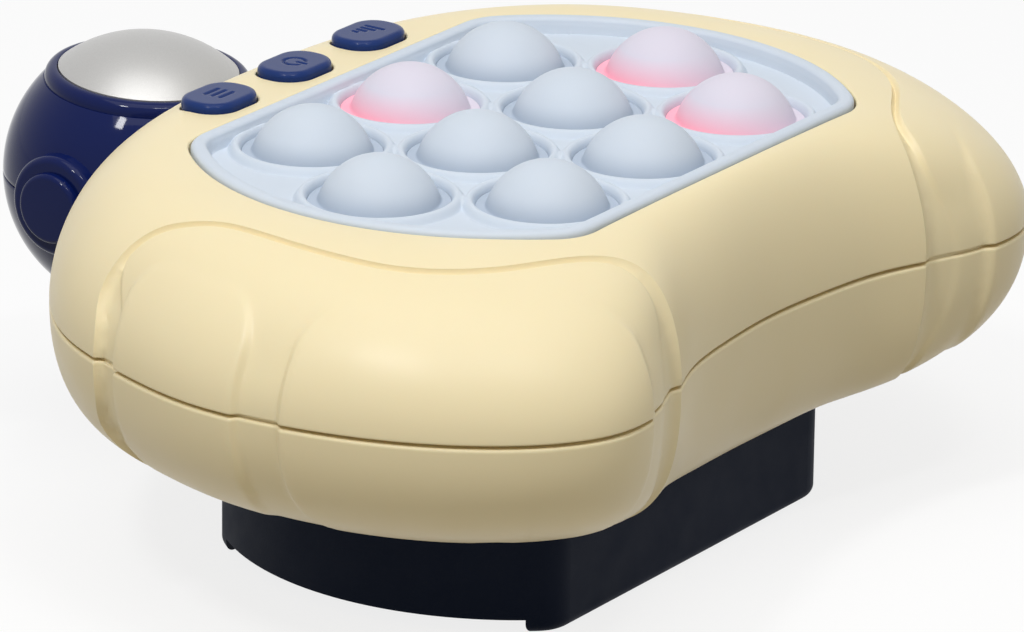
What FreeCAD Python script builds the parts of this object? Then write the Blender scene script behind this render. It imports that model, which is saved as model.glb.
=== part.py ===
import FreeCAD, Part
import math
import os

Vec = FreeCAD.Vector

# A hand-held push-bubble game console. Millimetres, +Z up, the table at z = 0.
# The model is built about the middle of the bubble field: the two wide lobes
# lie along Y and the helmet at -X. Every solid is then moved along X by one
# length, so that the origin is under the middle of the whole outline.

# Heights of the body
seam_z = 37.2
crown_rise = 18.6
belly_drop = 20.6
wall = 2.2
crown_z = seam_z + crown_rise
belly_z = seam_z - belly_drop

# Half of the body's outline at the seam, from the +X side round to the -X side
seam_outline = [
    (39.2, 0.0), (40.0, 12.0), (42.0, 23.0), (45.4, 31.5), (48.0, 40.0), (47.8, 48.2),
    (44.0, 55.4), (37.0, 61.8), (27.5, 67.0), (14.0, 70.8), (-2.0, 71.5), (-15.5, 67.8),
    (-29.3, 61.2), (-38.9, 52.0), (-45.6, 42.0), (-50.0, 30.5), (-52.5, 15.5), (-53.0, 0.0),
]

# Flat areas of the crown and of the belly, as half widths towards +X, -X and Y
crown_half = (31.5, 40.0, 49.5)
belly_half = (30.0, 34.0, 40.5)
flat_power = 2.5
crown_power = 1.9
belly_power = 2.35
section_count = 7

# Clearances, and the distance within which two places count as one
moulded_gap = 0.3
slide_gap = 0.25
screw_gap = 0.1
same_place = 1e-4

# Bubble field: rows of 3, 4 and 3
bubble_pitch = 22.0
row_pitch = 18.6
bubble_r = 8.0
bubble_h = 6.1
bubble_skin = 1.3
bubble_web = 1.05
bubble_web_t = 1.0
bubble_stem_r = 1.8
bubble_travel = 3.0
dome_floor_z = 54.1
ridge_w = 1.6
ridge_top = 1.1

# Silicone panel: its long sides are straight, its ends are arcs about (0, +-panel_arc_y)
panel_arc_r = 40.0
panel_arc_y = 7.1
panel_half_x = 30.9
panel_corner_r = 8.0
panel_t = 1.7
rim_w = 2.2
rim_top = 2.2
rim_round = 0.8
pocket_wall = 1.0

# Frame under the panel
frame_t = 1.6
frame_ear_r = 2.6
frame_ear_angle = 16.0
frame_post_r = 2.4
frame_post = (26.0, 31.8)

# Main board and what is on it
board_t = 1.6
board_inset = 2.6
board_tab_half_y = 24.5
board_tab_reach = 41.3
switch_size = 6.0
switch_body_h = 3.5
switch_stem_r = 1.75
switch_h = 4.3
press_gap = 0.3
stem_shortfall = 1.3
led_size = (3.5, 2.8, 1.9)
led_offset = 4.6
chip_size = (9.0, 9.0, 1.6)
chip_at = (6.0, -12.0)
capacitor_r = 3.0
capacitor_h = 8.0
capacitor_at = [(20.0, -8.0), (20.0, 2.0)]
resistor_size = (3.2, 1.6, 0.8)
resistor_row = 5
resistor_step = 4.0
resistor_at = (-20.0, 6.0)
connector_size = (8.0, 5.0, 5.0)
battery_plug_at = (-6.0, -12.0)
speaker_plug_at = (4.0, 12.0)

# Three keys between the panel and the helmet
key_x = -37.6
key_pitch = 16.9
key_size = (8.0, 10.8)
key_corner_r = 3.6
key_proud = 1.1
key_round = 0.5
key_flange = 1.1
key_flange_t = 1.0
key_skirt = 3.9
key_travel = 0.8
key_stem_r = 1.6
key_press_gap = 0.1

# Base with the battery bay
base_half_x = 27.3
base_reach_y = 41.8
base_straight_y = 30.7
base_corner_r = 5.5
base_wall = 2.2
base_recess = 1.2
base_round = 1.5
base_floor_z = 2.0
base_floor_t = 3.2
runner_w = 3.3
cell_count = 3
cell_r = 7.25
cell_l = 50.5
cell_nub_r = 2.75
cell_nub_h = 1.0
cell_round = 0.5
cell_gap = 0.3
bay_wall = 1.8
spring_room = 6.9
spring_turns = 3
spring_wire_r = 0.4
spring_r = 3.6
spring_gap = 0.1
contact_t = 0.5
contact_w = 9.0
contact_h = 11.0
contact_tab_w = 2.6
contact_tab_rise = 1.8
door_t = 2.0
door_ledge = 1.3
door_tab_half_x = 6.0
door_tab_reach = 5.6
door_corner_r = 1.5
grip_count = 4
grip_pitch = 2.4
grip_w = 1.0
grip_half_l = 8.0
grip_depth = 0.5
grip_from_end = 6.0

# Screws: shank radius, shank length, head radius, head height
shell_screw = (1.5, 16.0, 2.7, 2.0)
small_screw = (1.0, 6.0, 1.9, 1.3)
frame_screw = (1.0, 3.6, 1.9, 1.3)
screw_hole_end = 0.3
base_screw = (1.2, 8.0, 2.3, 1.5)
helmet_screw = (1.0, 8.0, 1.9, 1.4)
recess_depth = 0.6
recess_slot = 0.5
recess_share = 0.6
boss_wall = 2.0
shell_boss_at = [(30.0, 50.0), (-30.0, 46.0)]
shell_screw_seat_z = 30.0
base_screw_at = (12.0, 35.4)
lip_t = 1.0
lip_h = 2.0

# Helmet: a ball set into the -X side of the body, with its visor tilted towards the body
helmet_x = -63.1
helmet_z = 36.5
helmet_r = 19.1
helmet_tilt = 4.0
helmet_wall = 2.0
socket_wall = 2.0
visor_r = 12.4
visor_t = 1.5
bezel_w = 1.7
bezel_seat_h = 12.7
bezel_fall = 0.6
bezel_ledge_w = 1.0
bezel_floor_t = 0.7
ear_r = 7.0
ear_face = 1.1
ear_round = 1.0
ear_cap_r = 4.9
ear_cap_t = 1.2
ear_cap_round = 0.7
ear_peg_r = 1.5
ear_peg_l = 3.4
helmet_screw_dz = 3.9
helmet_boss_r = 3.0
helmet_boss_l = 8.0
helmet_pad_proud = 0.1

# Speaker, facing down through the belly
speaker_at = (0.0, 47.5)
speaker_r = 12.0
speaker_seat_z = 22.6
speaker_frame_t = 1.2
speaker_ring_w = 1.5
speaker_cone_r = 10.2
speaker_cone_h = 2.6
speaker_cone_t = 0.5
speaker_magnet_r = 6.0
speaker_magnet_h = 4.0
speaker_magnet_lip = 1.0
speaker_ring_h = 4.0
grille_hole_r = 0.9
grille_rings = [(0.0, 1), (3.6, 6), (7.2, 12)]

# Leads inside the body
lead_r = 0.6
lead_pitch = 2.4
lead_rise = 3.5
lead_bow = 3.0
lead_bend_share = 0.45

# Heights that follow
frame_top_z = dome_floor_z - panel_t
frame_bottom_z = frame_top_z - frame_t
web_bottom_z = dome_floor_z - bubble_web_t
switch_top_z = web_bottom_z - bubble_travel - stem_shortfall
board_top_z = switch_top_z - switch_h
board_bottom_z = board_top_z - board_t
base_top_z = belly_z + base_recess
shell_floor_z = base_top_z + wall
bay_half_x = cell_count * cell_r + (cell_count + 1) / 2.0 * cell_gap
bay_half_y = (cell_l + spring_room) / 2.0 + contact_t
bay_floor_z = base_floor_z + base_floor_t
cell_z = bay_floor_z + cell_gap + cell_r
bay_roof_z = cell_z + cell_r + cell_gap
well_r = bubble_r + bubble_web + slide_gap
web_r = bubble_r + bubble_web
plug_z = board_bottom_z - connector_size[2]
helmet_pad_x = helmet_x + helmet_r + moulded_gap + socket_wall + helmet_pad_proud


# Plain solids
def cylinder(x, y, z0, z1, radius):
    return Part.makeCylinder(radius, z1 - z0, Vec(x, y, z0))


def block(x0, x1, y0, y1, z0, z1):
    return Part.makeBox(x1 - x0, y1 - y0, z1 - z0, Vec(x0, y0, z0))


def ball(x, z, radius):
    return Part.makeSphere(radius, Vec(x, 0, z))


def extruded(wire, z0, z1):
    flat = wire.copy()
    flat.translate(Vec(0, 0, z0))
    return Part.Face(flat).extrude(Vec(0, 0, z1 - z0))


def edges_at(shape, axis, value):
    # The edges that lie in the plane where the axis, "X", "Y" or "Z", has this value.
    found = []
    for edge in shape.Edges:
        box = edge.BoundBox
        low = getattr(box, axis + "Min")
        high = getattr(box, axis + "Max")
        if abs(low - value) < same_place and abs(high - value) < same_place:
            found.append(edge)
    return found


def joined(shapes):
    first = shapes[0]
    rest = shapes[1:]
    return first.fuse(rest).removeSplitter() if rest else first


def rounded_rectangle(x, y, half_x, half_y, corner):
    # A closed wire at z = 0, made of four sides and four quarter circles.
    edges = []
    turns = [(1, 1), (-1, 1), (-1, -1), (1, -1)]
    for index, (sx, sy) in enumerate(turns):
        centre = Vec(x + sx * (half_x - corner), y + sy * (half_y - corner), 0)
        circle = Part.Circle(centre, Vec(0, 0, 1), corner)
        start = index * math.pi / 2.0
        edges.append(circle.toShape(start, start + math.pi / 2.0))
    wire = []
    for index, arc in enumerate(edges):
        following = edges[(index + 1) % len(edges)]
        side_start = arc.valueAt(arc.LastParameter)
        side_end = following.valueAt(following.FirstParameter)
        wire.append(arc)
        wire.append(Part.makeLine(side_start, side_end))
    return Part.Wire(wire)


def bowed_outline(arc_r, arc_y, half_x, corner, grow):
    # Straight sides at +-half_x and bowed ends: arcs of arc_r about (0, +-arc_y), with rounded corners.
    radius = arc_r + grow
    side = half_x + grow
    rounding = corner + grow
    reach = math.sqrt((radius - rounding) ** 2 - (side - rounding) ** 2)
    corner_y = arc_y + reach
    lean = math.atan2(reach, side - rounding)

    def arc(cx, cy, r, a0, a1):
        return Part.Circle(Vec(cx, cy, 0), Vec(0, 0, 1), r).toShape(a0, a1)

    cx = side - rounding
    edges = [
        Part.makeLine(Vec(side, -corner_y, 0), Vec(side, corner_y, 0)),
        arc(cx, corner_y, rounding, 0, lean),
        arc(0, arc_y, radius, lean, math.pi - lean),
        arc(-cx, corner_y, rounding, math.pi - lean, math.pi),
        Part.makeLine(Vec(-side, corner_y, 0), Vec(-side, -corner_y, 0)),
        arc(-cx, -corner_y, rounding, math.pi, math.pi + lean),
        arc(0, -arc_y, radius, math.pi + lean, 2 * math.pi - lean),
        arc(cx, -corner_y, rounding, 2 * math.pi - lean, 2 * math.pi),
    ]
    return Part.Wire(edges)


def panel_outline(grow):
    return bowed_outline(panel_arc_r, panel_arc_y, panel_half_x, panel_corner_r, grow)


def base_outline(grow):
    bulge = base_reach_y - base_straight_y
    arc_r = (base_half_x ** 2 + bulge ** 2) / (2.0 * bulge)
    return bowed_outline(arc_r, base_reach_y - arc_r, base_half_x, base_corner_r, grow)


def turned(points, axis_x=0.0, axis_y=0.0):
    # Solid of revolution about a vertical axis from a closed list of (radius, z), where a pair of
    # points in place of one is the middle and the end of an arc.
    edges = []
    here = Vec(points[0][0], 0, points[0][1])
    start = here
    for point in points[1:]:
        if isinstance(point[0], tuple):
            middle = Vec(point[0][0], 0, point[0][1])
            end = Vec(point[1][0], 0, point[1][1])
            edges.append(Part.Arc(here, middle, end).toShape())
        else:
            end = Vec(point[0], 0, point[1])
            edges.append(Part.makeLine(here, end))
        here = end
    edges.append(Part.makeLine(here, start))
    solid = Part.Face(Part.Wire(edges)).revolve(Vec(0, 0, 0), Vec(0, 0, 1), 360)
    solid.translate(Vec(axis_x, axis_y, 0))
    return solid


def screw(at, sizes, direction):
    # A pan-head screw with a cross recess: its head's seat is at `at`, its shank runs along direction.
    shank_r, shank_l, head_r, head_h = sizes
    body = cylinder(0, 0, 0, shank_l, shank_r)
    head = cylinder(0, 0, -head_h, 0, head_r)
    half = head_r * recess_share
    slot = recess_slot / 2.0
    cross = [
        block(-half, half, -slot, slot, -head_h, recess_depth - head_h),
        block(-slot, slot, -half, half, -head_h, recess_depth - head_h),
    ]
    solid = joined([body, head]).cut(cross)
    solid.Placement = FreeCAD.Placement(at, FreeCAD.Rotation(Vec(0, 0, 1), direction))
    return solid


# The body's surface
def full_outline(inset):
    # The seam outline, mirrored to both sides and moved inwards by inset along its normal.
    half = [Vec(x, y, 0) for x, y in seam_outline]
    points = half + [Vec(p.x, -p.y, 0) for p in reversed(half[1:-1])]
    moved = []
    for index, point in enumerate(points):
        along = points[(index + 1) % len(points)] - points[index - 1]
        normal = Vec(along.y, -along.x, 0).normalize()
        moved.append(point - normal * inset)
    return moved


def flat_radius(angle, half_sizes):
    # Distance from the middle to the edge of the flat area, in the direction of angle.
    towards_plus, towards_minus, towards_y = half_sizes
    towards_x = towards_plus if math.cos(angle) > 0 else towards_minus
    x_share = abs(math.cos(angle)) / towards_x
    y_share = abs(math.sin(angle)) / towards_y
    return (x_share ** flat_power + y_share ** flat_power) ** (-1.0 / flat_power)


def body_half(inset, rise, half_sizes, power):
    # One half of the body: sections from the seam to the flat area, on a superellipse.
    wires = []
    for step in range(section_count):
        turn = step * math.pi / 2.0 / (section_count - 1)
        out = math.cos(turn) ** (2.0 / power) if step < section_count - 1 else 0.0
        up = math.sin(turn) ** (2.0 / power)
        points = []
        for p in full_outline(inset):
            angle = math.atan2(p.y, p.x)
            flat = flat_radius(angle, half_sizes)
            reach = flat + (p.Length - flat) * out
            points.append(Vec(reach * math.cos(angle), reach * math.sin(angle), seam_z + rise * up))
        curve = Part.BSplineCurve()
        curve.interpolate(Points=points, PeriodicFlag=True)
        wires.append(Part.Wire([curve.toShape()]))
    return Part.makeLoft(wires, True, False)


def top_half(inset):
    return body_half(inset, crown_rise - inset, crown_half, crown_power)


def bottom_half(inset):
    return body_half(inset, inset - belly_drop, belly_half, belly_power)


def tilted(shape):
    # Turned about the helmet's middle, so that its top leans towards the body.
    shape.rotate(Vec(helmet_x, 0, helmet_z), Vec(0, 1, 0), helmet_tilt)
    return shape


def helmet_room(grow):
    # The space of the helmet and its bezel, grown on all sides.
    bezel_r = visor_r + bezel_w + grow
    return joined([
        ball(helmet_x, helmet_z, helmet_r + grow),
        tilted(cylinder(helmet_x, 0, helmet_z + bezel_seat_h - grow, crown_z + wall, bezel_r)),
    ])


def helmet_screw_pad(sign):
    z = helmet_z + sign * helmet_screw_dz
    return Part.makeCylinder(helmet_boss_r, helmet_pad_x - helmet_x, Vec(helmet_x, 0, z), Vec(1, 0, 0))


def helmet_screw_hole(sign, radius):
    z = helmet_z + sign * helmet_screw_dz
    return Part.makeCylinder(radius, helmet_pad_x - helmet_x + wall, Vec(helmet_x, 0, z), Vec(1, 0, 0))


def socket_walls(sign):
    # What stays solid inside the body around the helmet: the dish's wall and its screw's pad.
    return [helmet_room(moulded_gap + socket_wall), helmet_screw_pad(sign)]


def socket_cuts(sign):
    return [helmet_room(moulded_gap), helmet_screw_hole(sign, helmet_screw[0] + screw_gap)]


def boss_positions():
    return [(x, side * y) for x, y in shell_boss_at for side in (-1, 1)]


def frame_ears():
    angle = math.radians(frame_ear_angle)
    distance = panel_arc_r + moulded_gap + frame_ear_r - pocket_wall
    x = distance * math.sin(angle)
    y = panel_arc_y + distance * math.cos(angle)
    return [(sx * x, sy * y) for sx in (-1, 1) for sy in (-1, 1)]


def key_places():
    return [(key_x, -key_pitch), (key_x, 0.0), (key_x, key_pitch)]


def key_hole(x, y):
    half_x = key_size[0] / 2.0 + slide_gap
    half_y = key_size[1] / 2.0 + slide_gap
    wire = rounded_rectangle(x, y, half_x, half_y, key_corner_r + slide_gap)
    return extruded(wire, seam_z, crown_z + wall)


def shell_bosses(z0, z1):
    boss_r = shell_screw[0] + boss_wall
    return [cylinder(x, y, z0, z1, boss_r) for x, y in boss_positions()]


def top_shell():
    # The hollow leaves the pocket's wall, the bosses and the helmet's dish standing.
    roof_z = crown_z + wall
    kept = [extruded(panel_outline(moulded_gap + pocket_wall), frame_top_z, roof_z)]
    kept += [cylinder(x, y, frame_top_z, roof_z, frame_ear_r) for x, y in frame_ears()]
    kept += shell_bosses(seam_z, roof_z)
    kept += socket_walls(1)
    hollow = top_half(wall).cut(kept)
    cuts = [hollow, extruded(panel_outline(moulded_gap), frame_top_z - wall, roof_z)]
    for x, y in boss_positions():
        top = shell_screw_seat_z + shell_screw[1] + screw_hole_end
        cuts.append(cylinder(x, y, seam_z, top, shell_screw[0] + screw_gap))
    for x, y in frame_ears():
        top = frame_bottom_z + frame_screw[1] + screw_hole_end
        cuts.append(cylinder(x, y, frame_top_z, top, frame_screw[0] + screw_gap))
    cuts += [key_hole(x, y) for x, y in key_places()]
    cuts += socket_cuts(1)
    return top_half(0.0).cut(cuts)


def speaker_seat():
    x, y = speaker_at
    outer_r = speaker_r + moulded_gap + speaker_ring_w
    top = speaker_seat_z + speaker_ring_h
    ring = cylinder(x, y, belly_z, top, outer_r)
    room = [
        cylinder(x, y, speaker_seat_z, top, speaker_r + moulded_gap),
        cylinder(x, y, belly_z, speaker_seat_z, speaker_cone_r + moulded_gap),
    ]
    return ring.cut(room)


def grille_holes():
    x, y = speaker_at
    holes = []
    for radius, count in grille_rings:
        for index in range(count):
            angle = 2.0 * math.pi * index / count
            hx = x + radius * math.cos(angle)
            hy = y + radius * math.sin(angle)
            holes.append(cylinder(hx, hy, 0, speaker_seat_z, grille_hole_r))
    return holes


def bottom_shell():
    kept = [extruded(base_outline(moulded_gap + wall), belly_z, shell_floor_z), speaker_seat()]
    kept += shell_bosses(belly_z, seam_z)
    kept += socket_walls(-1)
    hollow = bottom_half(wall).cut(kept)
    cuts = [hollow, extruded(base_outline(moulded_gap), belly_z - wall, base_top_z)]
    half_x = bay_half_x + bay_wall + moulded_gap
    half_y = bay_half_y + bay_wall + moulded_gap
    cuts.append(block(-half_x, half_x, -half_y, half_y, belly_z, shell_floor_z + wall))
    for x, y in boss_positions():
        cuts.append(cylinder(x, y, 0, seam_z, shell_screw[0] + screw_gap))
        cuts.append(cylinder(x, y, 0, shell_screw_seat_z, shell_screw[2] + screw_gap))
    for x, y in base_screw_places():
        cuts.append(cylinder(x, y, belly_z, shell_floor_z, base_screw[0] + screw_gap))
    cuts += grille_holes()
    cuts += socket_cuts(-1)
    return joined([bottom_half(0.0).cut(cuts), locating_lip()])


def locating_lip():
    # The locating lip that stands up inside the top shell, broken at the helmet and at the bosses.
    outer_inset = wall + moulded_gap
    outside = seam_wire(outer_inset)
    inside = seam_wire(outer_inset + lip_t)
    low = seam_z - lip_h
    lip = extruded(outside, low, seam_z + lip_h).cut(extruded(inside, low, seam_z + lip_h))
    foot = extruded(seam_wire(wall / 2.0), low, seam_z).cut(extruded(inside, low, seam_z))
    reach = helmet_r + socket_wall + wall
    above = block(helmet_x - reach, helmet_x + reach, -reach, reach, seam_z, crown_z)
    room = [helmet_room(moulded_gap * 2.0 + socket_wall).common(above), helmet_room(moulded_gap)]
    boss_r = shell_screw[0] + boss_wall + moulded_gap
    room += [cylinder(x, y, seam_z, crown_z, boss_r) for x, y in boss_positions()]
    return joined([lip, foot]).cut(room)


def seam_wire(inset):
    curve = Part.BSplineCurve()
    curve.interpolate(Points=full_outline(inset), PeriodicFlag=True)
    return Part.Wire([curve.toShape()])


# Bubble field
def bubble_places():
    places = []
    for row, count in ((-1, 3), (0, 4), (1, 3)):
        for index in range(count):
            y = (index - (count - 1) / 2.0) * bubble_pitch
            places.append((row * row_pitch, y))
    return places


def bubble_panel():
    rim_z = dome_floor_z + rim_top
    rim = extruded(panel_outline(0.0), frame_top_z, rim_z)
    rim = rim.cut(extruded(panel_outline(-rim_w), dome_floor_z, rim_z))
    rim = rim.makeFillet(rim_round, edges_at(rim, "Z", rim_z))
    ridge_z = dome_floor_z + ridge_top
    ridges = [cylinder(x, y, frame_top_z, ridge_z, well_r + ridge_w) for x, y in bubble_places()]
    ridges = [ridge.common(extruded(panel_outline(-rim_round), frame_top_z, ridge_z)) for ridge in ridges]
    panel = joined([rim] + ridges)
    return panel.cut([cylinder(x, y, frame_top_z, rim_z, well_r) for x, y in bubble_places()])


def bubble(x, y):
    # A hollow dome on a short web, with a stem under its crown that presses a switch.
    ball_r = (bubble_r ** 2 + bubble_h ** 2) / (2.0 * bubble_h)
    centre_z = dome_floor_z + bubble_h - ball_r
    inner_r = ball_r - bubble_skin
    inner_edge = math.sqrt(inner_r ** 2 - (web_bottom_z - centre_z) ** 2)
    inner_top = centre_z + math.sqrt(inner_r ** 2 - bubble_stem_r ** 2)
    stem_z = switch_top_z + press_gap + bubble_travel

    def on_ball(radius, angle):
        return (radius * math.cos(angle), centre_z + radius * math.sin(angle))

    outer_angle = math.atan2(dome_floor_z - centre_z, bubble_r)
    inner_low = math.atan2(web_bottom_z - centre_z, inner_edge)
    inner_high = math.atan2(inner_top - centre_z, bubble_stem_r)
    return turned([
        (0.0, stem_z), (0.0, dome_floor_z + bubble_h),
        (on_ball(ball_r, (outer_angle + math.pi / 2.0) / 2.0), (bubble_r, dome_floor_z)),
        (web_r, dome_floor_z), (web_r, web_bottom_z), (inner_edge, web_bottom_z),
        (on_ball(inner_r, (inner_low + inner_high) / 2.0), (bubble_stem_r, inner_top)),
        (bubble_stem_r, stem_z),
    ], x, y)


def post_places():
    px, py = frame_post
    return [(sx * px, sy * py) for sx in (-1, 1) for sy in (-1, 1)]


def panel_frame():
    plate = extruded(panel_outline(moulded_gap + pocket_wall), frame_bottom_z, frame_top_z)
    ears = [cylinder(x, y, frame_bottom_z, frame_top_z, frame_ear_r) for x, y in frame_ears()]
    posts = [cylinder(x, y, board_top_z, frame_bottom_z, frame_post_r) for x, y in post_places()]
    frame = joined([plate] + ears + posts)
    hole_r = web_r + slide_gap + moulded_gap / 2.0
    cuts = [cylinder(x, y, frame_bottom_z, frame_top_z, hole_r) for x, y in bubble_places()]
    for x, y in frame_ears():
        cuts.append(cylinder(x, y, frame_bottom_z, frame_top_z, frame_screw[0] + screw_gap))
    for x, y in post_places():
        top = board_bottom_z + small_screw[1] + screw_hole_end
        cuts.append(cylinder(x, y, board_top_z, top, small_screw[0] + screw_gap))
    return frame.cut(cuts)


# Electronics
def main_board():
    field = extruded(panel_outline(pocket_wall - board_inset), board_bottom_z, board_top_z)
    tab = block(-board_tab_reach, 0, -board_tab_half_y, board_tab_half_y, board_bottom_z, board_top_z)
    board = joined([field, tab])
    hole_r = small_screw[0] + screw_gap
    return board.cut([cylinder(x, y, board_bottom_z, board_top_z, hole_r) for x, y in post_places()])


def push_switch(x, y):
    half = switch_size / 2.0
    body = block(x - half, x + half, y - half, y + half, board_top_z, board_top_z + switch_body_h)
    return joined([body, cylinder(x, y, board_top_z + switch_body_h, switch_top_z, switch_stem_r)])


def led(x, y):
    sx, sy, sz = led_size
    cx = x - led_offset - sx / 2.0
    return block(cx - sx / 2.0, cx + sx / 2.0, y - sy / 2.0, y + sy / 2.0, board_top_z, board_top_z + sz)


def under_board(at, size):
    x, y = at
    sx, sy, sz = size
    return block(x - sx / 2.0, x + sx / 2.0, y - sy / 2.0, y + sy / 2.0, board_bottom_z - sz, board_bottom_z)


def board_components():
    parts = [
        cylinder(x, y, board_bottom_z - capacitor_h, board_bottom_z, capacitor_r) for x, y in capacitor_at
    ]
    for index in range(resistor_row):
        parts.append(under_board((resistor_at[0], resistor_at[1] + index * resistor_step), resistor_size))
    return parts


# Keys
def key(x, y):
    half_x = key_size[0] / 2.0
    half_y = key_size[1] / 2.0
    top = crown_z + key_proud
    skirt_z = crown_z - key_skirt
    cap = extruded(rounded_rectangle(x, y, half_x, half_y, key_corner_r), skirt_z, top)
    cap = cap.makeFillet(key_round, edges_at(cap, "Z", top))
    flange_wire = rounded_rectangle(x, y, half_x, half_y + key_flange, key_corner_r)
    flange = extruded(flange_wire, skirt_z - key_flange_t, skirt_z)
    stem = cylinder(x, y, switch_top_z + key_travel + key_press_gap, skirt_z, key_stem_r)
    return joined([cap, flange, stem])


# Base and battery bay
def base_screw_places():
    x, y = base_screw_at
    return [(sx * x, sy * y) for sx in (-1, 1) for sy in (-1, 1)]


def door_wire(grow):
    half_x = bay_half_x + door_ledge + grow
    half_y = bay_half_y + door_ledge + grow
    return rounded_rectangle(0, 0, half_x, half_y, door_corner_r)


def door_solid(grow, z0, z1):
    tab_half = door_tab_half_x + grow
    tab_end = bay_half_y + door_ledge + door_tab_reach + grow
    tab = extruded(rounded_rectangle(0, tab_end / 2.0, tab_half, tab_end / 2.0, door_corner_r), z0, z1)
    return joined([extruded(door_wire(grow), z0, z1), tab])


def door_screw_place():
    return (0.0, bay_half_y + door_ledge + door_tab_reach / 2.0)


def cell_places():
    # Each cell's x, and the side that its positive end points to.
    places = []
    step = 2.0 * cell_r + cell_gap
    for index in range(cell_count):
        x = (index - (cell_count - 1) / 2.0) * step
        places.append((x, 1 if index % 2 == 0 else -1))
    return places


def base_housing():
    body = extruded(base_outline(0.0), 0.0, base_top_z)
    body = body.makeFillet(base_round, edges_at(body, "Z", 0.0))
    inner_x = base_half_x - runner_w
    body = body.cut(block(-inner_x, inner_x, -base_reach_y, base_reach_y, 0.0, base_floor_z))
    body = body.cut(extruded(base_outline(-base_wall), bay_floor_z, base_top_z))
    bay_x = bay_half_x + bay_wall
    bay_y = bay_half_y + bay_wall
    bay = block(-bay_x, bay_x, -bay_y, bay_y, base_floor_z, bay_roof_z + bay_wall)
    boss_r = base_screw[0] + boss_wall
    bosses = [cylinder(x, y, base_floor_z, base_top_z, boss_r) for x, y in base_screw_places()]
    screw_x, screw_y = door_screw_place()
    door_boss_z = base_floor_z + small_screw[3] + screw_gap + small_screw[1] + screw_hole_end + boss_wall
    bosses.append(cylinder(screw_x, screw_y, base_floor_z, door_boss_z, small_screw[0] + boss_wall))
    within = extruded(base_outline(-base_wall / 2.0), 0.0, base_top_z)
    body = joined([body, bay] + [boss.common(within) for boss in bosses])
    cuts = [
        block(-bay_half_x, bay_half_x, -bay_half_y, bay_half_y, base_floor_z, bay_roof_z),
        door_solid(moulded_gap, 0.0, base_floor_z + door_t),
        cylinder(screw_x, screw_y, base_floor_z, door_boss_z - boss_wall, small_screw[0] + screw_gap),
    ]
    for x, y in base_screw_places():
        low = shell_floor_z - base_screw[1] - screw_hole_end
        cuts.append(cylinder(x, y, low, base_top_z, base_screw[0] + screw_gap))
    for x, y in lead_tabs():
        half_w = contact_tab_w / 2.0 + moulded_gap
        half_t = contact_t / 2.0 + moulded_gap
        cuts.append(block(x - half_w, x + half_w, y - half_t, y + half_t, bay_roof_z, bay_roof_z + bay_wall))
    return body.cut(cuts)


def battery_door():
    door = door_solid(0.0, base_floor_z, base_floor_z + door_t)
    x, y = door_screw_place()
    door = door.cut([
        cylinder(x, y, base_floor_z, base_floor_z + door_t, small_screw[0] + screw_gap),
        cylinder(x, y, base_floor_z, base_floor_z + small_screw[3] + screw_gap, small_screw[2] + screw_gap),
    ])
    grips = []
    for index in range(grip_count):
        y0 = grip_from_end - bay_half_y + index * grip_pitch
        y1 = y0 + grip_w
        grips.append(block(-grip_half_l, grip_half_l, y0, y1, base_floor_z, base_floor_z + grip_depth))
    return door.cut(grips)


def battery_cell(x, side):
    tip_y = side * (bay_half_y - contact_t)
    towards = Vec(0, -side, 0)
    body_l = cell_l - cell_nub_h
    nub = Part.makeCylinder(cell_nub_r, cell_nub_h, Vec(x, tip_y, cell_z), towards)
    body = Part.makeCylinder(cell_r, body_l, Vec(x, tip_y - side * cell_nub_h, cell_z), towards)
    body = body.makeFillet(cell_round, [e for e in body.Edges if isinstance(e.Curve, Part.Circle)])
    return joined([nub, body])


def contact_spring(x, side):
    # A coil between the cell's flat end and the plate behind it, just clear of both.
    room = spring_room - 2.0 * (spring_gap + spring_wire_r)
    helix = Part.makeHelix(room / spring_turns, room, spring_r)
    start = Vec(spring_r, 0, 0)
    profile = Part.Wire([Part.Circle(start, Vec(0, 1, 0), spring_wire_r).toShape()])
    coil = Part.Wire(helix).makePipeShell([profile], True, True)
    coil.rotate(Vec(0, 0, 0), Vec(1, 0, 0), side * -90)
    coil.translate(Vec(x, -side * (bay_half_y - contact_t - spring_gap - spring_wire_r), cell_z))
    return coil


def contact_plates():
    # At each end one plate joins two neighbouring cells and one plate stands alone with the lead's tab.
    plates = []
    xs = [x for x, side in cell_places()]
    for side, single, pair in ((1, xs[-1], xs[:2]), (-1, xs[0], xs[1:])):
        outer = side * bay_half_y
        y0 = min(outer, outer - side * contact_t)
        y1 = y0 + contact_t
        z0 = cell_z - contact_h / 2.0
        z1 = cell_z + contact_h / 2.0
        half = contact_w / 2.0
        plates.append(block(min(pair) - half, max(pair) + half, y0, y1, z0, z1))
        plate = block(single - half, single + half, y0, y1, z0, z1)
        tab_z = bay_roof_z + bay_wall + contact_tab_rise
        tab = block(single - contact_tab_w / 2.0, single + contact_tab_w / 2.0, y0, y1, z0, tab_z)
        plates.append(joined([plate, tab]))
    return plates


def lead_tabs():
    xs = [x for x, side in cell_places()]
    y = bay_half_y - contact_t / 2.0
    return [(xs[-1], y), (xs[0], -y)]


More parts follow.
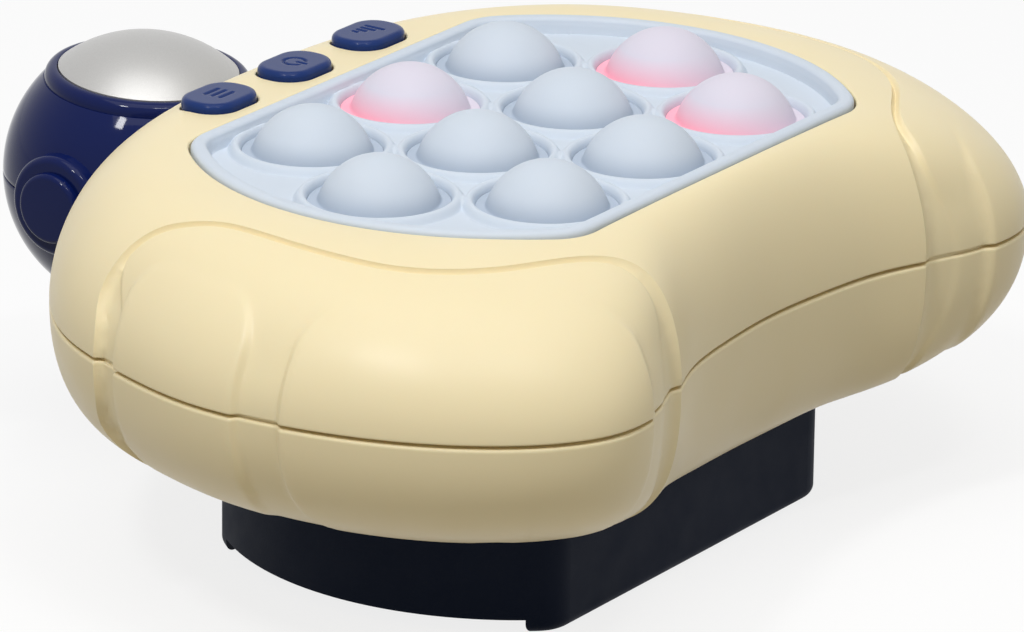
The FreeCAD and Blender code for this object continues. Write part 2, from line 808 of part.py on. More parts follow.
# Helmet
def helmet_half(sign):
    shell = ball(helmet_x, helmet_z, helmet_r).cut(ball(helmet_x, helmet_z, helmet_r - helmet_wall))
    boss_z = helmet_z + sign * helmet_screw_dz
    boss_start = Vec(helmet_x + helmet_r - helmet_boss_l, 0, boss_z)
    boss = Part.makeCylinder(helmet_boss_r, helmet_boss_l, boss_start, Vec(1, 0, 0))
    shell = joined([shell, boss.common(ball(helmet_x, helmet_z, helmet_r))])
    reach = helmet_r + wall
    low = helmet_z if sign > 0 else helmet_z - reach
    keep = block(helmet_x - reach, helmet_x + reach, -reach, reach, low, low + reach)
    shell = shell.common(keep)
    hole_l = helmet_boss_l - screw_hole_end
    hole_start = Vec(helmet_x + helmet_r - hole_l, 0, boss_z)
    cuts = [Part.makeCylinder(helmet_screw[0] + screw_gap, hole_l, hole_start, Vec(1, 0, 0))]
    for side in (-1, 1):
        peg_start = Vec(helmet_x, side * (helmet_r - ear_peg_l), helmet_z)
        peg_room = Part.makeCylinder(ear_peg_r + screw_gap, ear_peg_l + ear_face, peg_start, Vec(0, side, 0))
        cuts.append(peg_room)
    if sign > 0:
        seat = helmet_z + bezel_seat_h
        cuts.append(tilted(cylinder(helmet_x, 0, seat, seat + helmet_r, helmet_r)))
    return shell.cut(cuts)


def edge_height(radius):
    # Height of the helmet's ball above its middle, at a distance from its upright axis.
    return math.sqrt(helmet_r ** 2 - radius ** 2)


def visor_bezel():
    seat = helmet_z + bezel_seat_h
    inner = visor_r - bezel_ledge_w
    outer = visor_r + bezel_w
    top = helmet_z + edge_height(visor_r)
    return tilted(turned([
        (inner, seat), (outer, seat), (outer, top - bezel_fall), (visor_r, top),
        (visor_r, seat + bezel_floor_t), (inner, seat + bezel_floor_t),
    ], helmet_x, 0.0))


def visor():
    # A cap of the same ball as the helmet, resting on the ledge inside the bezel.
    edge_r = visor_r - screw_gap
    low = helmet_z + bezel_seat_h + bezel_floor_t
    inner_ball = helmet_r - visor_t
    inner_edge = edge_r - visor_t
    outer_angle = math.atan2(edge_height(edge_r), edge_r)
    inner_high = helmet_z + math.sqrt(inner_ball ** 2 - inner_edge ** 2)
    inner_angle = math.atan2(inner_high - helmet_z, inner_edge)

    def on_ball(radius, angle):
        return (radius * math.cos(angle), helmet_z + radius * math.sin(angle))

    outer_mid = (outer_angle + math.pi / 2.0) / 2.0
    inner_mid = (inner_angle + math.pi / 2.0) / 2.0
    return tilted(turned([
        (edge_r, low), (inner_edge, low), (inner_edge, inner_high),
        (on_ball(inner_ball, inner_mid), (0.0, helmet_z + inner_ball)), (0.0, helmet_z + helmet_r),
        (on_ball(helmet_r, outer_mid), (edge_r, helmet_z + edge_height(edge_r))),
    ], helmet_x, 0.0))


def ear_disc(side):
    face = helmet_r + ear_face
    disc = Part.makeCylinder(ear_r, face - helmet_r / 2.0, Vec(helmet_x, side * helmet_r / 2.0, helmet_z),
                             Vec(0, side, 0))
    disc = disc.makeFillet(ear_round, edges_at(disc, "Y", side * face))
    hole = Part.makeCylinder(ear_peg_r + screw_gap, helmet_r, Vec(helmet_x, side * helmet_r / 2.0, helmet_z),
                             Vec(0, side, 0))
    return disc.cut([ball(helmet_x, helmet_z, helmet_r + screw_gap / 2.0), hole])


def ear_cap(side):
    face = helmet_r + ear_face
    cap = Part.makeCylinder(ear_cap_r, ear_cap_t, Vec(helmet_x, side * face, helmet_z), Vec(0, side, 0))
    cap = cap.makeFillet(ear_cap_round, edges_at(cap, "Y", side * (face + ear_cap_t)))
    peg = Part.makeCylinder(ear_peg_r, ear_peg_l, Vec(helmet_x, side * (face - ear_peg_l), helmet_z),
                            Vec(0, side, 0))
    return joined([cap, peg])


# Speaker
def speaker_frame():
    x, y = speaker_at
    top = speaker_seat_z + speaker_frame_t
    ring = cylinder(x, y, speaker_seat_z, top, speaker_r)
    return ring.cut(cylinder(x, y, speaker_seat_z, top, speaker_cone_r))


def speaker_cone():
    x, y = speaker_at
    low = speaker_seat_z
    high = speaker_seat_z + speaker_cone_h
    neck = speaker_magnet_r - speaker_magnet_lip
    return turned([
        (0.0, high), (neck, high), (speaker_cone_r, low + speaker_cone_t),
        (speaker_cone_r, low), (neck - speaker_cone_t, high - speaker_cone_t), (0.0, high - speaker_cone_t),
    ], x, y)


def speaker_magnet():
    x, y = speaker_at
    low = speaker_seat_z + speaker_cone_h
    return cylinder(x, y, low, low + speaker_magnet_h, speaker_magnet_r)


# Leads
def lead(points):
    # A round wire along straight runs joined by tangent arcs.
    edges = []
    here = points[0]
    for before, corner, after in zip(points, points[1:], points[2:]):
        into = corner - before
        out = after - corner
        cut = lead_bend_share * min(into.Length, out.Length)
        into.normalize()
        out.normalize()
        first = corner - into * cut
        last = corner + out * cut
        bisector = (out - into).normalize()
        half_turn = math.acos(max(-1.0, min(1.0, into.dot(out)))) / 2.0
        radius = cut / math.tan(half_turn)
        middle = corner + bisector * (radius / math.cos(half_turn) - radius)
        edges.append(Part.makeLine(here, first))
        edges.append(Part.Arc(first, middle, last).toShape())
        here = last
    edges.append(Part.makeLine(here, points[-1]))
    path = Part.Wire(edges)
    along = (points[1] - points[0]).normalize()
    profile = Part.Wire([Part.Circle(points[0], along, lead_r).toShape()])
    return path.makePipeShell([profile], True, True)


def run_lead(start, end, bow):
    # Straight up out of its start, across with a small bow, and straight up into its end.
    middle = (start + end) * 0.5 + Vec(bow, 0, 0)
    rise = Vec(0, 0, lead_rise)
    return lead([start, start + rise, middle, end - rise, end])


def plug_ends(at):
    return [Vec(at[0] + step * lead_pitch, at[1], plug_z) for step in (-0.5, 0.5)]


def battery_leads():
    start_z = bay_roof_z + bay_wall + contact_tab_rise
    right_start, left_start = [Vec(x, y, start_z) for x, y in lead_tabs()]
    left_end, right_end = plug_ends(battery_plug_at)
    return [run_lead(left_start, left_end, -lead_bow), run_lead(right_start, right_end, lead_bow)]


def speaker_leads():
    x, y = speaker_at
    start_y = y - (speaker_r + speaker_cone_r) / 2.0
    starts = [Vec(x + step * lead_pitch, start_y, speaker_seat_z + speaker_frame_t) for step in (-0.5, 0.5)]
    return [run_lead(start, end, lead_bow) for start, end in zip(starts, plug_ends(speaker_plug_at))]


def screw_row(places, seat_z, sizes, direction):
    return [screw(Vec(x, y, seat_z), sizes, direction) for x, y in places]


def helmet_screw_row():
    heights = [helmet_z + sign * helmet_screw_dz for sign in (-1, 1)]
    return [screw(Vec(helmet_pad_x, 0, z), helmet_screw, Vec(-1, 0, 0)) for z in heights]


def screw_groups():
    down = Vec(0, 0, -1)
    up = Vec(0, 0, 1)
    door_seat = base_floor_z + small_screw[3] + screw_gap
    return {
        "shell_screws": screw_row(boss_positions(), shell_screw_seat_z, shell_screw, up),
        "frame_screws": screw_row(frame_ears(), frame_bottom_z, frame_screw, up),
        "board_screws": screw_row(post_places(), board_bottom_z, small_screw, up),
        "base_screws": screw_row(base_screw_places(), shell_floor_z, base_screw, down),
        "helmet_screws": helmet_screw_row(),
        "door_screw": screw_row([door_screw_place()], door_seat, small_screw, up),
    }


def all_parts():
    parts = {
        "top_shell": [top_shell()],
        "bottom_shell": [bottom_shell()],
        "bubble_panel": [bubble_panel()],
        "panel_frame": [panel_frame()],
        "main_board": [main_board()],
        "bubble_switches": [push_switch(x, y) for x, y in bubble_places()],
        "bubble_leds": [led(x, y) for x, y in bubble_places()],
        "key_switches": [push_switch(x, y) for x, y in key_places()],
        "sound_chip": [under_board(chip_at, chip_size)],
        "board_components": board_components(),
        "board_connectors": [under_board(at, connector_size) for at in (battery_plug_at, speaker_plug_at)],
        "base_housing": [base_housing()],
        "battery_door": [battery_door()],
        "contact_springs": [contact_spring(x, side) for x, side in cell_places()],
        "contact_plates": contact_plates(),
        "battery_leads": battery_leads(),
        "speaker_leads": speaker_leads(),
        "speaker_frame": [speaker_frame()],
        "speaker_cone": [speaker_cone()],
        "speaker_magnet": [speaker_magnet()],
        "helmet_upper": [helmet_half(1)],
        "helmet_lower": [helmet_half(-1)],
        "visor_bezel": [visor_bezel()],
        "visor": [visor()],
        "ear_disc_left": [ear_disc(-1)],
        "ear_disc_right": [ear_disc(1)],
        "ear_cap_left": [ear_cap(-1)],
        "ear_cap_right": [ear_cap(1)],
    }
    for number, (x, y) in enumerate(bubble_places(), 1):
        parts["bubble_%d" % number] = [bubble(x, y)]
    for name, (x, y) in zip(("menu_key", "power_key", "volume_key"), key_places()):
        parts[name] = [key(x, y)]
    for number, (x, side) in enumerate(cell_places(), 1):
        parts["battery_cell_%d" % number] = [battery_cell(x, side)]
    parts.update(screw_groups())
    return parts


def middle_x():
    # Half way between the helmet's far side and the lobes' far side.
    lobes = Part.Face(seam_wire(0.0)).optimalBoundingBox().XMax
    return (helmet_x - helmet_r + lobes) / 2.0


os.makedirs("parts", exist_ok=True)
shift = Vec(-middle_x(), 0, 0)
print("shift", shift)
for name, solids in all_parts().items():
    shape = Part.makeCompound(solids) if len(solids) > 1 else solids[0]
    shape.translate(shift)
    shape.exportStep("parts/%s.step" % name)
    print(name, len(shape.Solids), round(shape.Volume, 1), "valid" if shape.isValid() else "NOT VALID")
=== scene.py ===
import math

import bpy
import numpy as np
from mathutils import Matrix, Vector, kdtree
from mathutils.geometry import delaunay_2d_cdt


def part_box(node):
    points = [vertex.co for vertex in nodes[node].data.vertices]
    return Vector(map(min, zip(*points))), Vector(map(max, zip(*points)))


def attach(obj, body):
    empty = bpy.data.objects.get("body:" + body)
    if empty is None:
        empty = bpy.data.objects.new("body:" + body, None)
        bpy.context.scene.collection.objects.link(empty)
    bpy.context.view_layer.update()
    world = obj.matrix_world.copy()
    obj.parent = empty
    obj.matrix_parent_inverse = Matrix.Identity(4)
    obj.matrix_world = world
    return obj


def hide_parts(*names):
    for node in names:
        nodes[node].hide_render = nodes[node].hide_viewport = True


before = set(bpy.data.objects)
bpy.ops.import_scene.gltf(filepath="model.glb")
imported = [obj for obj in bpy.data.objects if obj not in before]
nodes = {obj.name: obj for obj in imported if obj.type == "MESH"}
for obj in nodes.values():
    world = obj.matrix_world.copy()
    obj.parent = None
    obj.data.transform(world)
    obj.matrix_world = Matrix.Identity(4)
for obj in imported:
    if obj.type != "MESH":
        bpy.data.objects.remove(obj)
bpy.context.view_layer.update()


# Base housing and battery door
# A tub and its lid, injection moulded in near-black navy ABS with a fine etched texture. Four screws
# from inside hold the tub in the belly; one screw and two rails of the floor hold the lid.
noise_low = 0.3
noise_high = 0.7


def add_node(tree, kind, sockets=(), **settings):
    # A new node; each of its sockets takes a plain value, a node's output or a node, for its first one.
    node = tree.nodes.new(kind)
    for key, value in settings.items():
        setattr(node, key, value)
    for key, value in dict(sockets).items():
        if isinstance(value, bpy.types.Node):
            value = value.outputs[0]
        if isinstance(value, bpy.types.NodeSocket):
            tree.links.new(value, node.inputs[key])
        else:
            node.inputs[key].default_value = value
    return node


def noise_of(tree, size, detail=2):
    # Noise over the object's own coordinates, with features of about size, in millimetres.
    place = add_node(tree, "ShaderNodeTexCoord").outputs["Object"]
    return add_node(tree, "ShaderNodeTexNoise", {"Scale": 1000 / size, "Detail": detail, "Vector": place})


def spread_between(tree, factor, low, high):
    return add_node(tree, "ShaderNodeMapRange", {
        "From Min": noise_low, "From Max": noise_high, "To Min": low, "To Max": high, "Value": factor})


def mixed(tree, factor, first, second):
    sockets = {"Factor": factor, "A": first, "B": second}
    return add_node(tree, "ShaderNodeMix", sockets, data_type="RGBA").outputs["Result"]


def colour_between(tree, factor, first, second):
    return mixed(tree, factor, (*first, 1), (*second, 1))


def drifting(first, second, size, detail=3):
    # A colour that drifts between two over about size, in millimetres.
    return lambda tree: colour_between(tree, noise_of(tree, size, detail), first, second)


def finish(name, colour, roughness, wear, grain, shading=()):
    # colour makes the colour in a tree. The roughness spans a range, by noise of wear's size and detail,
    # and grain is the size and height of a fine relief, in millimetres.
    material = bpy.data.materials.new(name)
    material.use_nodes = True
    tree = material.node_tree
    shader = tree.nodes["Principled BSDF"]
    tree.links.new(colour(tree), shader.inputs["Base Color"])
    spread = spread_between(tree, noise_of(tree, *wear), *roughness)
    tree.links.new(spread.outputs["Result"], shader.inputs["Roughness"])
    size, height = grain
    bump = add_node(tree, "ShaderNodeBump", {
        "Distance": height / 1000, "Strength": 1, "Height": noise_of(tree, size, 1)})
    tree.links.new(bump.outputs["Normal"], shader.inputs["Normal"])
    for socket, value in dict(shading).items():
        shader.inputs[socket].default_value = value
    return material


def moulded(name, first, second, mottle, grain, roughness, shading=()):
    # A moulded plastic, whose colour drifts over mottle.
    return finish(name, drifting(first, second, mottle), roughness, (mottle / 3, 2), grain, shading)


def dress(material, *names):
    for name in names:
        for slot in nodes[name].material_slots:
            slot.material = material


navy_base = moulded(
    "navy_base", (0.0064, 0.0102, 0.023), (0.0086, 0.0135, 0.029), 14, (0.22, 0.012), (0.52, 0.60),
    {"Specular IOR Level": 0.07})
dress(navy_base, "base_housing", "battery_door")


# Cells, contacts, springs and screws
# Three alkaline cells in printed jackets lie between spring-steel contacts. Pan-head self-tapping
# screws of plated steel hold the shells, the frame, the boards, the base, the helmet and the door.
steel = finish(
    "plated_steel", drifting((0.52, 0.52, 0.51), (0.64, 0.64, 0.62), 1.4), (0.26, 0.40), (0.5, 2),
    (0.12, 0.004), {"Metallic": 1.0})
dress(steel, "speaker_frame", *(name for name in nodes if "screw" in name or name.startswith("contact")))
for covered, *look in (
    (("battery_cell_1", "battery_cell_2", "battery_cell_3"),
     "cell_jacket", (0.05, 0.05, 0.055), (0.07, 0.068, 0.065), 9, (0.3, 0.004), (0.24, 0.34)),
    (("battery_leads", "speaker_leads"),
     "lead_insulation", (0.30, 0.015, 0.012), (0.36, 0.02, 0.016), 3, (0.15, 0.004), (0.38, 0.5)),
    (("speaker_magnet",),
     "magnet_ferrite", (0.035, 0.034, 0.036), (0.055, 0.053, 0.052), 2, (0.1, 0.02), (0.5, 0.7)),
):
    dress(moulded(*look), *covered)


# Circuit board and what is on it
# A glass-epoxy board under green solder mask, with a moulded sound chip, capacitors, push switches,
# light-emitting diodes and white plug connectors soldered to it; it is screwed to the frame's posts.
for covered, *look in (
    (("main_board",),
     "board_green", (0.006, 0.075, 0.028), (0.010, 0.105, 0.040), 6, (0.4, 0.01), (0.28, 0.42)),
    (("sound_chip", "board_components", "bubble_switches", "key_switches", "speaker_cone"),
     "dark_moulding", (0.016, 0.016, 0.017), (0.024, 0.024, 0.025), 5, (0.18, 0.01), (0.42, 0.55)),
    (("board_connectors",),
     "connector_nylon", (0.72, 0.71, 0.66), (0.78, 0.77, 0.72), 5, (0.2, 0.006), (0.42, 0.55)),
    (("bubble_leds",),
     "diode_resin", (0.80, 0.78, 0.66), (0.86, 0.84, 0.76), 1.2, (0.2, 0.003), (0.16, 0.24)),
    (("panel_frame",),
     "frame_white", (0.66, 0.66, 0.64), (0.72, 0.72, 0.70), 12, (0.22, 0.01), (0.42, 0.52)),
):
    dress(moulded(*look), *covered)


# Lower shell
# The belly half of the body, moulded in cream ABS with a satin texture. It takes the base from below,
# the speaker behind its grille and two wells for the screws that pull the halves together.
low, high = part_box("bubble_5")
shift_x = (low.x + high.x) * 500.0
seam_z = 37.2
shell_wall = 2.2
moulded_gap = 0.3
half_outline = [
    (39.2, 0), (40, 12), (42, 23), (45.4, 31.5), (48, 40), (47.8, 48.2),
    (44, 55.4), (37, 61.8), (27.5, 67), (14, 70.8), (-2, 71.5), (-15.5, 67.8),
    (-29.3, 61.2), (-38.9, 52), (-45.6, 42), (-50, 30.5), (-52.5, 15.5), (-53, 0),
]
# Of each half: its way from the seam and how far it reaches, its flat area's reach towards +X, -X and
# the sides, the power of its bulge, the round at its rim, and how far in and how high its rim's step is.
belly = {
    "up": -1, "rise": -20.6, "flats": (30, 34, 40.5), "power": 2.35, "lip": 0.42, "step": (1.5, 1.1)}
crown = {
    "up": 1, "rise": 18.6, "flats": (31.5, 40, 49.5), "power": 1.9, "lip": 0.25, "step": (1.42, 1.3)}
flat_power = 2.5
unrolled = 34.0


def together(*columns):
    return np.stack(np.broadcast_arrays(*columns), -1)


def polar(angle, reach):
    return together(reach * np.cos(angle), reach * np.sin(angle))


def full_turn(count):
    return np.linspace(0, 2 * np.pi, count, endpoint=False)


def curve_through(points, closed=False, step=0.2):
    # A cubic curve through the points, sampled about every step.
    p = np.array(points + points[:1] if closed else points, float)
    chord = np.hypot(*np.diff(p, axis=0).T)
    slope = np.diff(p, axis=0) / chord[:, None]
    count = len(chord)
    before = np.roll(chord, 1)
    system = np.diag(2.0 * (before + chord))
    system += np.roll(np.diag(chord), 1, 1) + np.roll(np.diag(before), -1, 1)
    load = 6.0 * (slope - np.roll(slope, 1, 0))
    if not closed:
        system[0] = np.eye(count)[0]
        load[0] = 0.0
    bend = np.linalg.solve(system, load)
    parts = []
    for i in range(count):
        t = np.linspace(0, 1, max(2, int(chord[i] / step)), endpoint=False)[:, None]
        s = 1.0 - t
        curve = (s ** 3 - s) * bend[i] + (t ** 3 - t) * bend[(i + 1) % count]
        parts.append(s * p[i] + t * p[i + 1] + chord[i] ** 2 / 6.0 * curve)
    if not closed:
        parts.append(p[-1:])
    return np.vstack(parts)


def depth_in(loop, x, y):
    # Distance to a closed outline, positive outside it and negative inside.
    a = np.asarray(loop)
    b = np.roll(a, -1, 0)
    span = b - a
    length = (span ** 2).sum(1) + 1e-12
    result = np.empty(len(x))
    for start in range(0, len(x), 8000):
        some = slice(start, start + 8000)
        px = x[some, None] - a[:, 0]
        py = y[some, None] - a[:, 1]
        t = np.clip((px * span[:, 0] + py * span[:, 1]) / length, 0, 1)
        away = np.sqrt(((px - t * span[:, 0]) ** 2 + (py - t * span[:, 1]) ** 2).min(1))
        crosses = (a[:, 1] > y[some, None]) != (b[:, 1] > y[some, None])
        rise = np.where(span[:, 1] == 0, 1e-12, span[:, 1])
        inside = (crosses & (px < py * span[:, 0] / rise)).sum(1) % 2 == 1
        result[some] = np.where(inside, -away, away)
    return result


def eased(t):
    t = np.clip(t, 0, 1)
    return t * t * (3.0 - 2.0 * t)


outline_points = half_outline + [(x, -y) for x, y in reversed(half_outline[1:-1])]
outline_curve = curve_through(outline_points, True, 0.02)
outline_angle = np.unwrap(np.arctan2(outline_curve[:, 1], outline_curve[:, 0]))
outline_reach = np.hypot(outline_curve[:, 0], outline_curve[:, 1])


def seam_reach(angle):
    return np.interp(np.mod(angle, 2 * np.pi), outline_angle, outline_reach, period=2 * np.pi)


def flat_reach(angle, half):
    plus, minus, sideways = half["flats"]
    towards = np.where(np.cos(angle) > 0, plus, minus)
    share = (np.abs(np.cos(angle)) / towards) ** flat_power
    return (share + (np.abs(np.sin(angle)) / sideways) ** flat_power) ** (-1.0 / flat_power)


def on_body(angle, q, half):
    # q runs from 0 at the seam to 1 at the edge of the flat area and 2 at its middle.
    turn = np.clip(q, 0, 1) * np.pi / 2
    flat = flat_reach(angle, half)
    out = np.abs(np.cos(turn)) ** (2.0 / half["power"])
    up = np.sin(turn) ** (2.0 / half["power"])
    reach = flat + (seam_reach(angle) - flat) * out
    reach = np.where(q > 1, flat * (2.0 - q), reach)
    return together(reach * np.cos(angle), reach * np.sin(angle), seam_z + half["rise"] * up)


def body_normal(angle, q, half):
    along = on_body(angle + 2e-3, q, half) - on_body(angle - 2e-3, q, half)
    rising = on_body(angle, np.clip(q + 2e-3, 0, 1), half) - on_body(angle, np.clip(q - 2e-3, 0, 1), half)
    normal = np.cross(along, rising) * half["up"]
    normal[np.broadcast_to(q, len(normal)) > 0.998] = (0, 0, half["up"])
    return normal / np.linalg.norm(normal, axis=1)[:, None]


def under_skin(angle, q, half, depth):
    return on_body(angle, q, half) - body_normal(angle, q, half) * depth


def q_of_plan(x, y, half):
    angle = np.arctan2(y, x)
    reach = np.hypot(x, y)
    flat = flat_reach(angle, half)
    out = np.clip((reach - flat) / (seam_reach(angle) - flat), 0, 1)
    turn = np.arccos(out ** (half["power"] / 2))
    return angle, np.where(reach <= flat, 2.0 - reach / flat, turn / (np.pi / 2))


def q_of_height(height, half):
    return np.arcsin((height / abs(half["rise"])) ** (half["power"] / 2)) / (np.pi / 2)


def unroll(angle, q, half):
    flat = flat_reach(angle, half)
    return polar(angle, np.where(q > 1, flat * (2.0 - q), flat + unrolled * (1.0 - q)))


# The grooves that part the trunk from the two lobes, in plan on the +Y side.
trunk_edge = [
    (-24, 75), (-21.3, 66.5), (-21.5, 65), (-22.2, 63.5), (-22.3, 62.2), (-21.8, 60.9), (-20.8, 59.2),
    (-19.5, 57.8), (-17.5, 56.3), (-13.7, 54.9), (-9.3, 54.05), (-4.6, 54.15), (2.2, 54.75), (9.8, 54.75),
    (17.8, 53.2), (23.2, 50.2), (27.6, 46), (32, 39.3), (35.1, 34.6), (37.1, 32.4), (39, 30.9),
    (40.9, 29.9), (42.4, 29.4), (44, 29.2), (47, 29.1), (50, 29.1),
]
limb_edge = [
    (-16, 75), (-16.9, 67.4), (-17.2, 66.1), (-18, 64.7), (-18.9, 63.4), (-19.6, 62.2), (-20, 61.1),
    (-19.9, 60.1), (-19.4, 59.4),
    (-18.6, 58.6), (-16.8, 57.3), (-13.3, 55.95), (-9.3, 55.15), (-4.6, 55.25), (2.2, 55.85), (10, 55.85),
    (18.4, 54.2), (24, 51.1), (28.6, 46.7), (33, 40), (36.1, 35.6), (38, 34), (39.8, 33.3),
    (41.6, 32.8), (43.3, 32.9), (45, 33.8), (46.6, 35.2), (48.4, 37), (52, 41),
]
trunk_curve = curve_through(trunk_edge, step=0.4)
limb_curve = curve_through(limb_edge, step=0.4)
trunk_loop = np.vstack([trunk_curve, [(95, 29), (95, -95), (-95, -95), (-95, 75)]])
limb_loop = np.vstack([limb_curve, [(95, 45), (95, 95), (-16.5, 95)]])
groove_top = 0.8
groove_seam = 1.15
limb_drop = 0.95
wall_at = [-25, -20.5, -18, 33, 43, 52]
trunk_wall = [1, 0.8, 0.5, 0.5, 2, 2]
limb_wall = [0.9, 0.7, 0.5, 0.5, 0.9, 0.9]
pads = [(-16.8, 4.6, 13.3, 0), (12.2, 80, 15, 41)]
pad_corner = 5.5
pad_wall = 1.2
belly_share = 0.72


def past_box(dx, dy):
    # Distance to a box, from how far a point lies past its sides.
    return np.hypot(np.maximum(dx, 0), np.maximum(dy, 0)) + np.minimum(np.maximum(dx, dy), 0)


def pad_distance(x, side, from_seam, pad):
    # How far a point lies outside a pad: a raised area of a lobe, on both sides of the seam.
    left, right, half_height, least_side = pad
    dx = np.abs(x - (left + right) / 2) - (right - left) / 2.0 + pad_corner
    dx = np.maximum(dx, (least_side - side) * 0.6 + pad_corner)
    return past_box(dx, from_seam - half_height + pad_corner) - pad_corner


def relief(points):
    x, y, z = points.T
    side = np.abs(y)
    from_seam = np.where(z > seam_z, z - seam_z, (seam_z - z) * belly_share)
    past_trunk = depth_in(trunk_loop, x, side) / np.interp(x, wall_at, trunk_wall)
    past_limb = depth_in(limb_loop, x, side) / np.interp(x, wall_at, limb_wall)
    groove = groove_top + (groove_seam - groove_top) * (1.0 - eased((from_seam - 7) / 8))
    drop = limb_drop * (1.0 - eased((from_seam - 6) / 10))
    for pad in pads:
        drop = drop * eased(pad_distance(x, side, from_seam, pad) / pad_wall)
    scooped = 1.0 - (1.0 - np.clip(past_trunk, 0, 1)) ** 2
    return scooped * (drop + (groove - drop) * eased(past_limb))


def rounded_over(distance, radius):
    # How far a surface falls at this distance from an edge with that radius.
    short = np.clip(radius - distance, 0, radius)
    return radius - np.sqrt(radius ** 2 - short ** 2)


def bowed_loop(arc_r, arc_y, half_x, corner, grow, step=0.5):
    # Straight sides at +-half_x and bowed ends about (0, +-arc_y), with rounded corners.
    radius = arc_r + grow
    side = half_x + grow
    rounding = corner + grow
    reach = math.sqrt((radius - rounding) ** 2 - (side - rounding) ** 2)
    lean = math.atan2(reach, side - rounding)
    corner_y = arc_y + reach
    runs = []
    for cx, cy, r, a0, a1 in (
        (side - rounding, corner_y, rounding, 0.0, lean),
        (0.0, arc_y, radius, lean, math.pi - lean),
        (rounding - side, corner_y, rounding, math.pi - lean, math.pi),
    ):
        turn = np.linspace(a0, a1, max(4, int(r * (a1 - a0) / step)), endpoint=False)
        runs.append(polar(turn, r) + (cx, cy))
    down = np.linspace(corner_y, -corner_y, int(2.0 * corner_y / step), endpoint=False)
    half = np.vstack(runs + [together(-side, down)])
    return np.vstack([half, -half])


panel_size = (40, 7.1, 30.9, 8)
base_half_x = 27.3
base_half_y = 41.8
base_side_y = 30.7
base_corner = 5.5


def panel_loop(grow, step=0.5):
    return bowed_loop(*panel_size, grow, step)


def base_loop(grow):
    bulge = base_half_y - base_side_y
    arc_r = (base_half_x ** 2 + bulge ** 2) / (2.0 * bulge)
    return bowed_loop(arc_r, base_half_y - arc_r, base_half_x, base_corner, grow)


def circle_loop(x, y, radius, count):
    return polar(full_turn(count), radius) + (x, y)


def beside(along):
    # The unit vector to the right of each direction.
    return together(along[:, 1], -along[:, 0]) / np.hypot(*along.T)[:, None]


def grown(loop, distance):
    # The outline moved outwards along its normals.
    return loop + beside(np.roll(loop, -1, 0) - np.roll(loop, 1, 0)) * distance


def knit(points, loops, rows=()):
    # Triangles over flat points, kept within the outer loop and out of the inner ones, with an edge
    # between each two neighbours of a row.
    edges = [(i, i + 1) for start, count in rows for i in range(start, start + count - 1)]
    owner = np.full(len(points), -1)
    for number, (start, count) in enumerate(loops):
        edges += [(start + i, start + (i + 1) % count) for i in range(count)]
        owner[start:start + count] = number
    found = delaunay_2d_cdt([Vector(p) for p in points], edges, [], 0, 1e-7, True)
    source = [sources[0] if sources else -1 for sources in found[3]]
    triangles = [tuple(source[i] for i in face) for face in found[2]]
    return [(a, b, c) for a, b, c in triangles if owner[a] < 0 or not owner[a] == owner[b] == owner[c]]


def mesh_of(name, points, faces):
    # Millimetres about the middle of the bubble field to metres in the row's frame.
    placed = (np.asarray(points, float) + (shift_x, 0, 0)) / 1000
    mesh = bpy.data.meshes.new(name)
    mesh.from_pydata(placed.tolist(), [], [tuple(int(i) for i in face) for face in faces])
    mesh.update()
    return mesh


def band(low, high, count):
    # Faces between two closed rows of points, given the first point of each.
    return [(low + i, low + (i + 1) % count, high + (i + 1) % count, high + i) for i in range(count)]


def fan(first, tip, count):
    # Faces from a closed row of points to one point.
    return [(first + i, first + (i + 1) % count, tip) for i in range(count)]


def turned_over(faces):
    return [tuple(reversed(face)) for face in faces]


def prism(loop, z0, z1):
    count = len(loop)
    points = np.vstack([together(*loop.T, z0), together(*loop.T, z1)])
    return points, [tuple(range(count - 1, -1, -1)), tuple(range(count, 2 * count))] + band(0, count, count)


def ball(x, z, radius, around=192, rings=96):
    points = [(x, 0, z - radius)]
    for ring in range(1, rings):
        tilt = math.pi * ring / rings
        level = circle_loop(x, 0.0, radius * math.sin(tilt), around)
        points += list(together(*level.T, z - radius * math.cos(tilt)))
    top = len(points)
    faces = turned_over(fan(1, 0, around)) + fan(top - around, top, around)
    for first in range(1, top - around, around):
        faces += band(first, first + around, around)
    return points + [(x, 0, z + radius)], faces


def gathered(shapes):
    points = []
    faces = []
    for shape_points, shape_faces in shapes:
        start = len(points)
        points += list(shape_points)
        faces += [tuple(start + i for i in face) for face in shape_faces]
    return points, faces


def shown(name, data):
    obj = bpy.data.objects.new(name, data)
    bpy.context.scene.collection.objects.link(obj)
    return obj


def evaluated(obj):
    # The object's mesh as its modifiers leave it.
    return bpy.data.meshes.new_from_object(obj.evaluated_get(bpy.context.evaluated_depsgraph_get()))


def carved(name, body, joins, cuts):
    # The body with the joins added and the cuts taken out, as one closed mesh.
    target = shown(name, mesh_of(name, *body))
    tools = []
    for operation, shapes in (("UNION", joins), ("DIFFERENCE", cuts)):
        for shape in shapes:
            step = target.modifiers.new(operation, "BOOLEAN")
            step.operation = operation
            step.solver = "MANIFOLD"
            step.object = shown(name + "_tool", mesh_of(name + "_tool", *shape))
            tools.append(step.object)
    mesh = evaluated(target)
    for spent in [target] + tools:
        bpy.data.objects.remove(spent)
    return mesh


def piece(name, mesh, material, body, slot, *replaced, crease=35):
    mesh.materials.clear()
    mesh.materials.append(material)
    mesh.shade_smooth()
    mesh.set_sharp_from_angle(angle=math.radians(crease))
    obj = shown(name, mesh)
    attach(obj, body)
    if replaced:
        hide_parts(*replaced)
    return obj


helmet_x = -63.1
helmet_z = 36.5
helmet_r = 19.1
helmet_tilt = math.radians(4.0)
tilt_cos = math.cos(helmet_tilt)
tilt_sin = math.sin(helmet_tilt)
bezel_seat = 12.7
bezel_r = 14.1


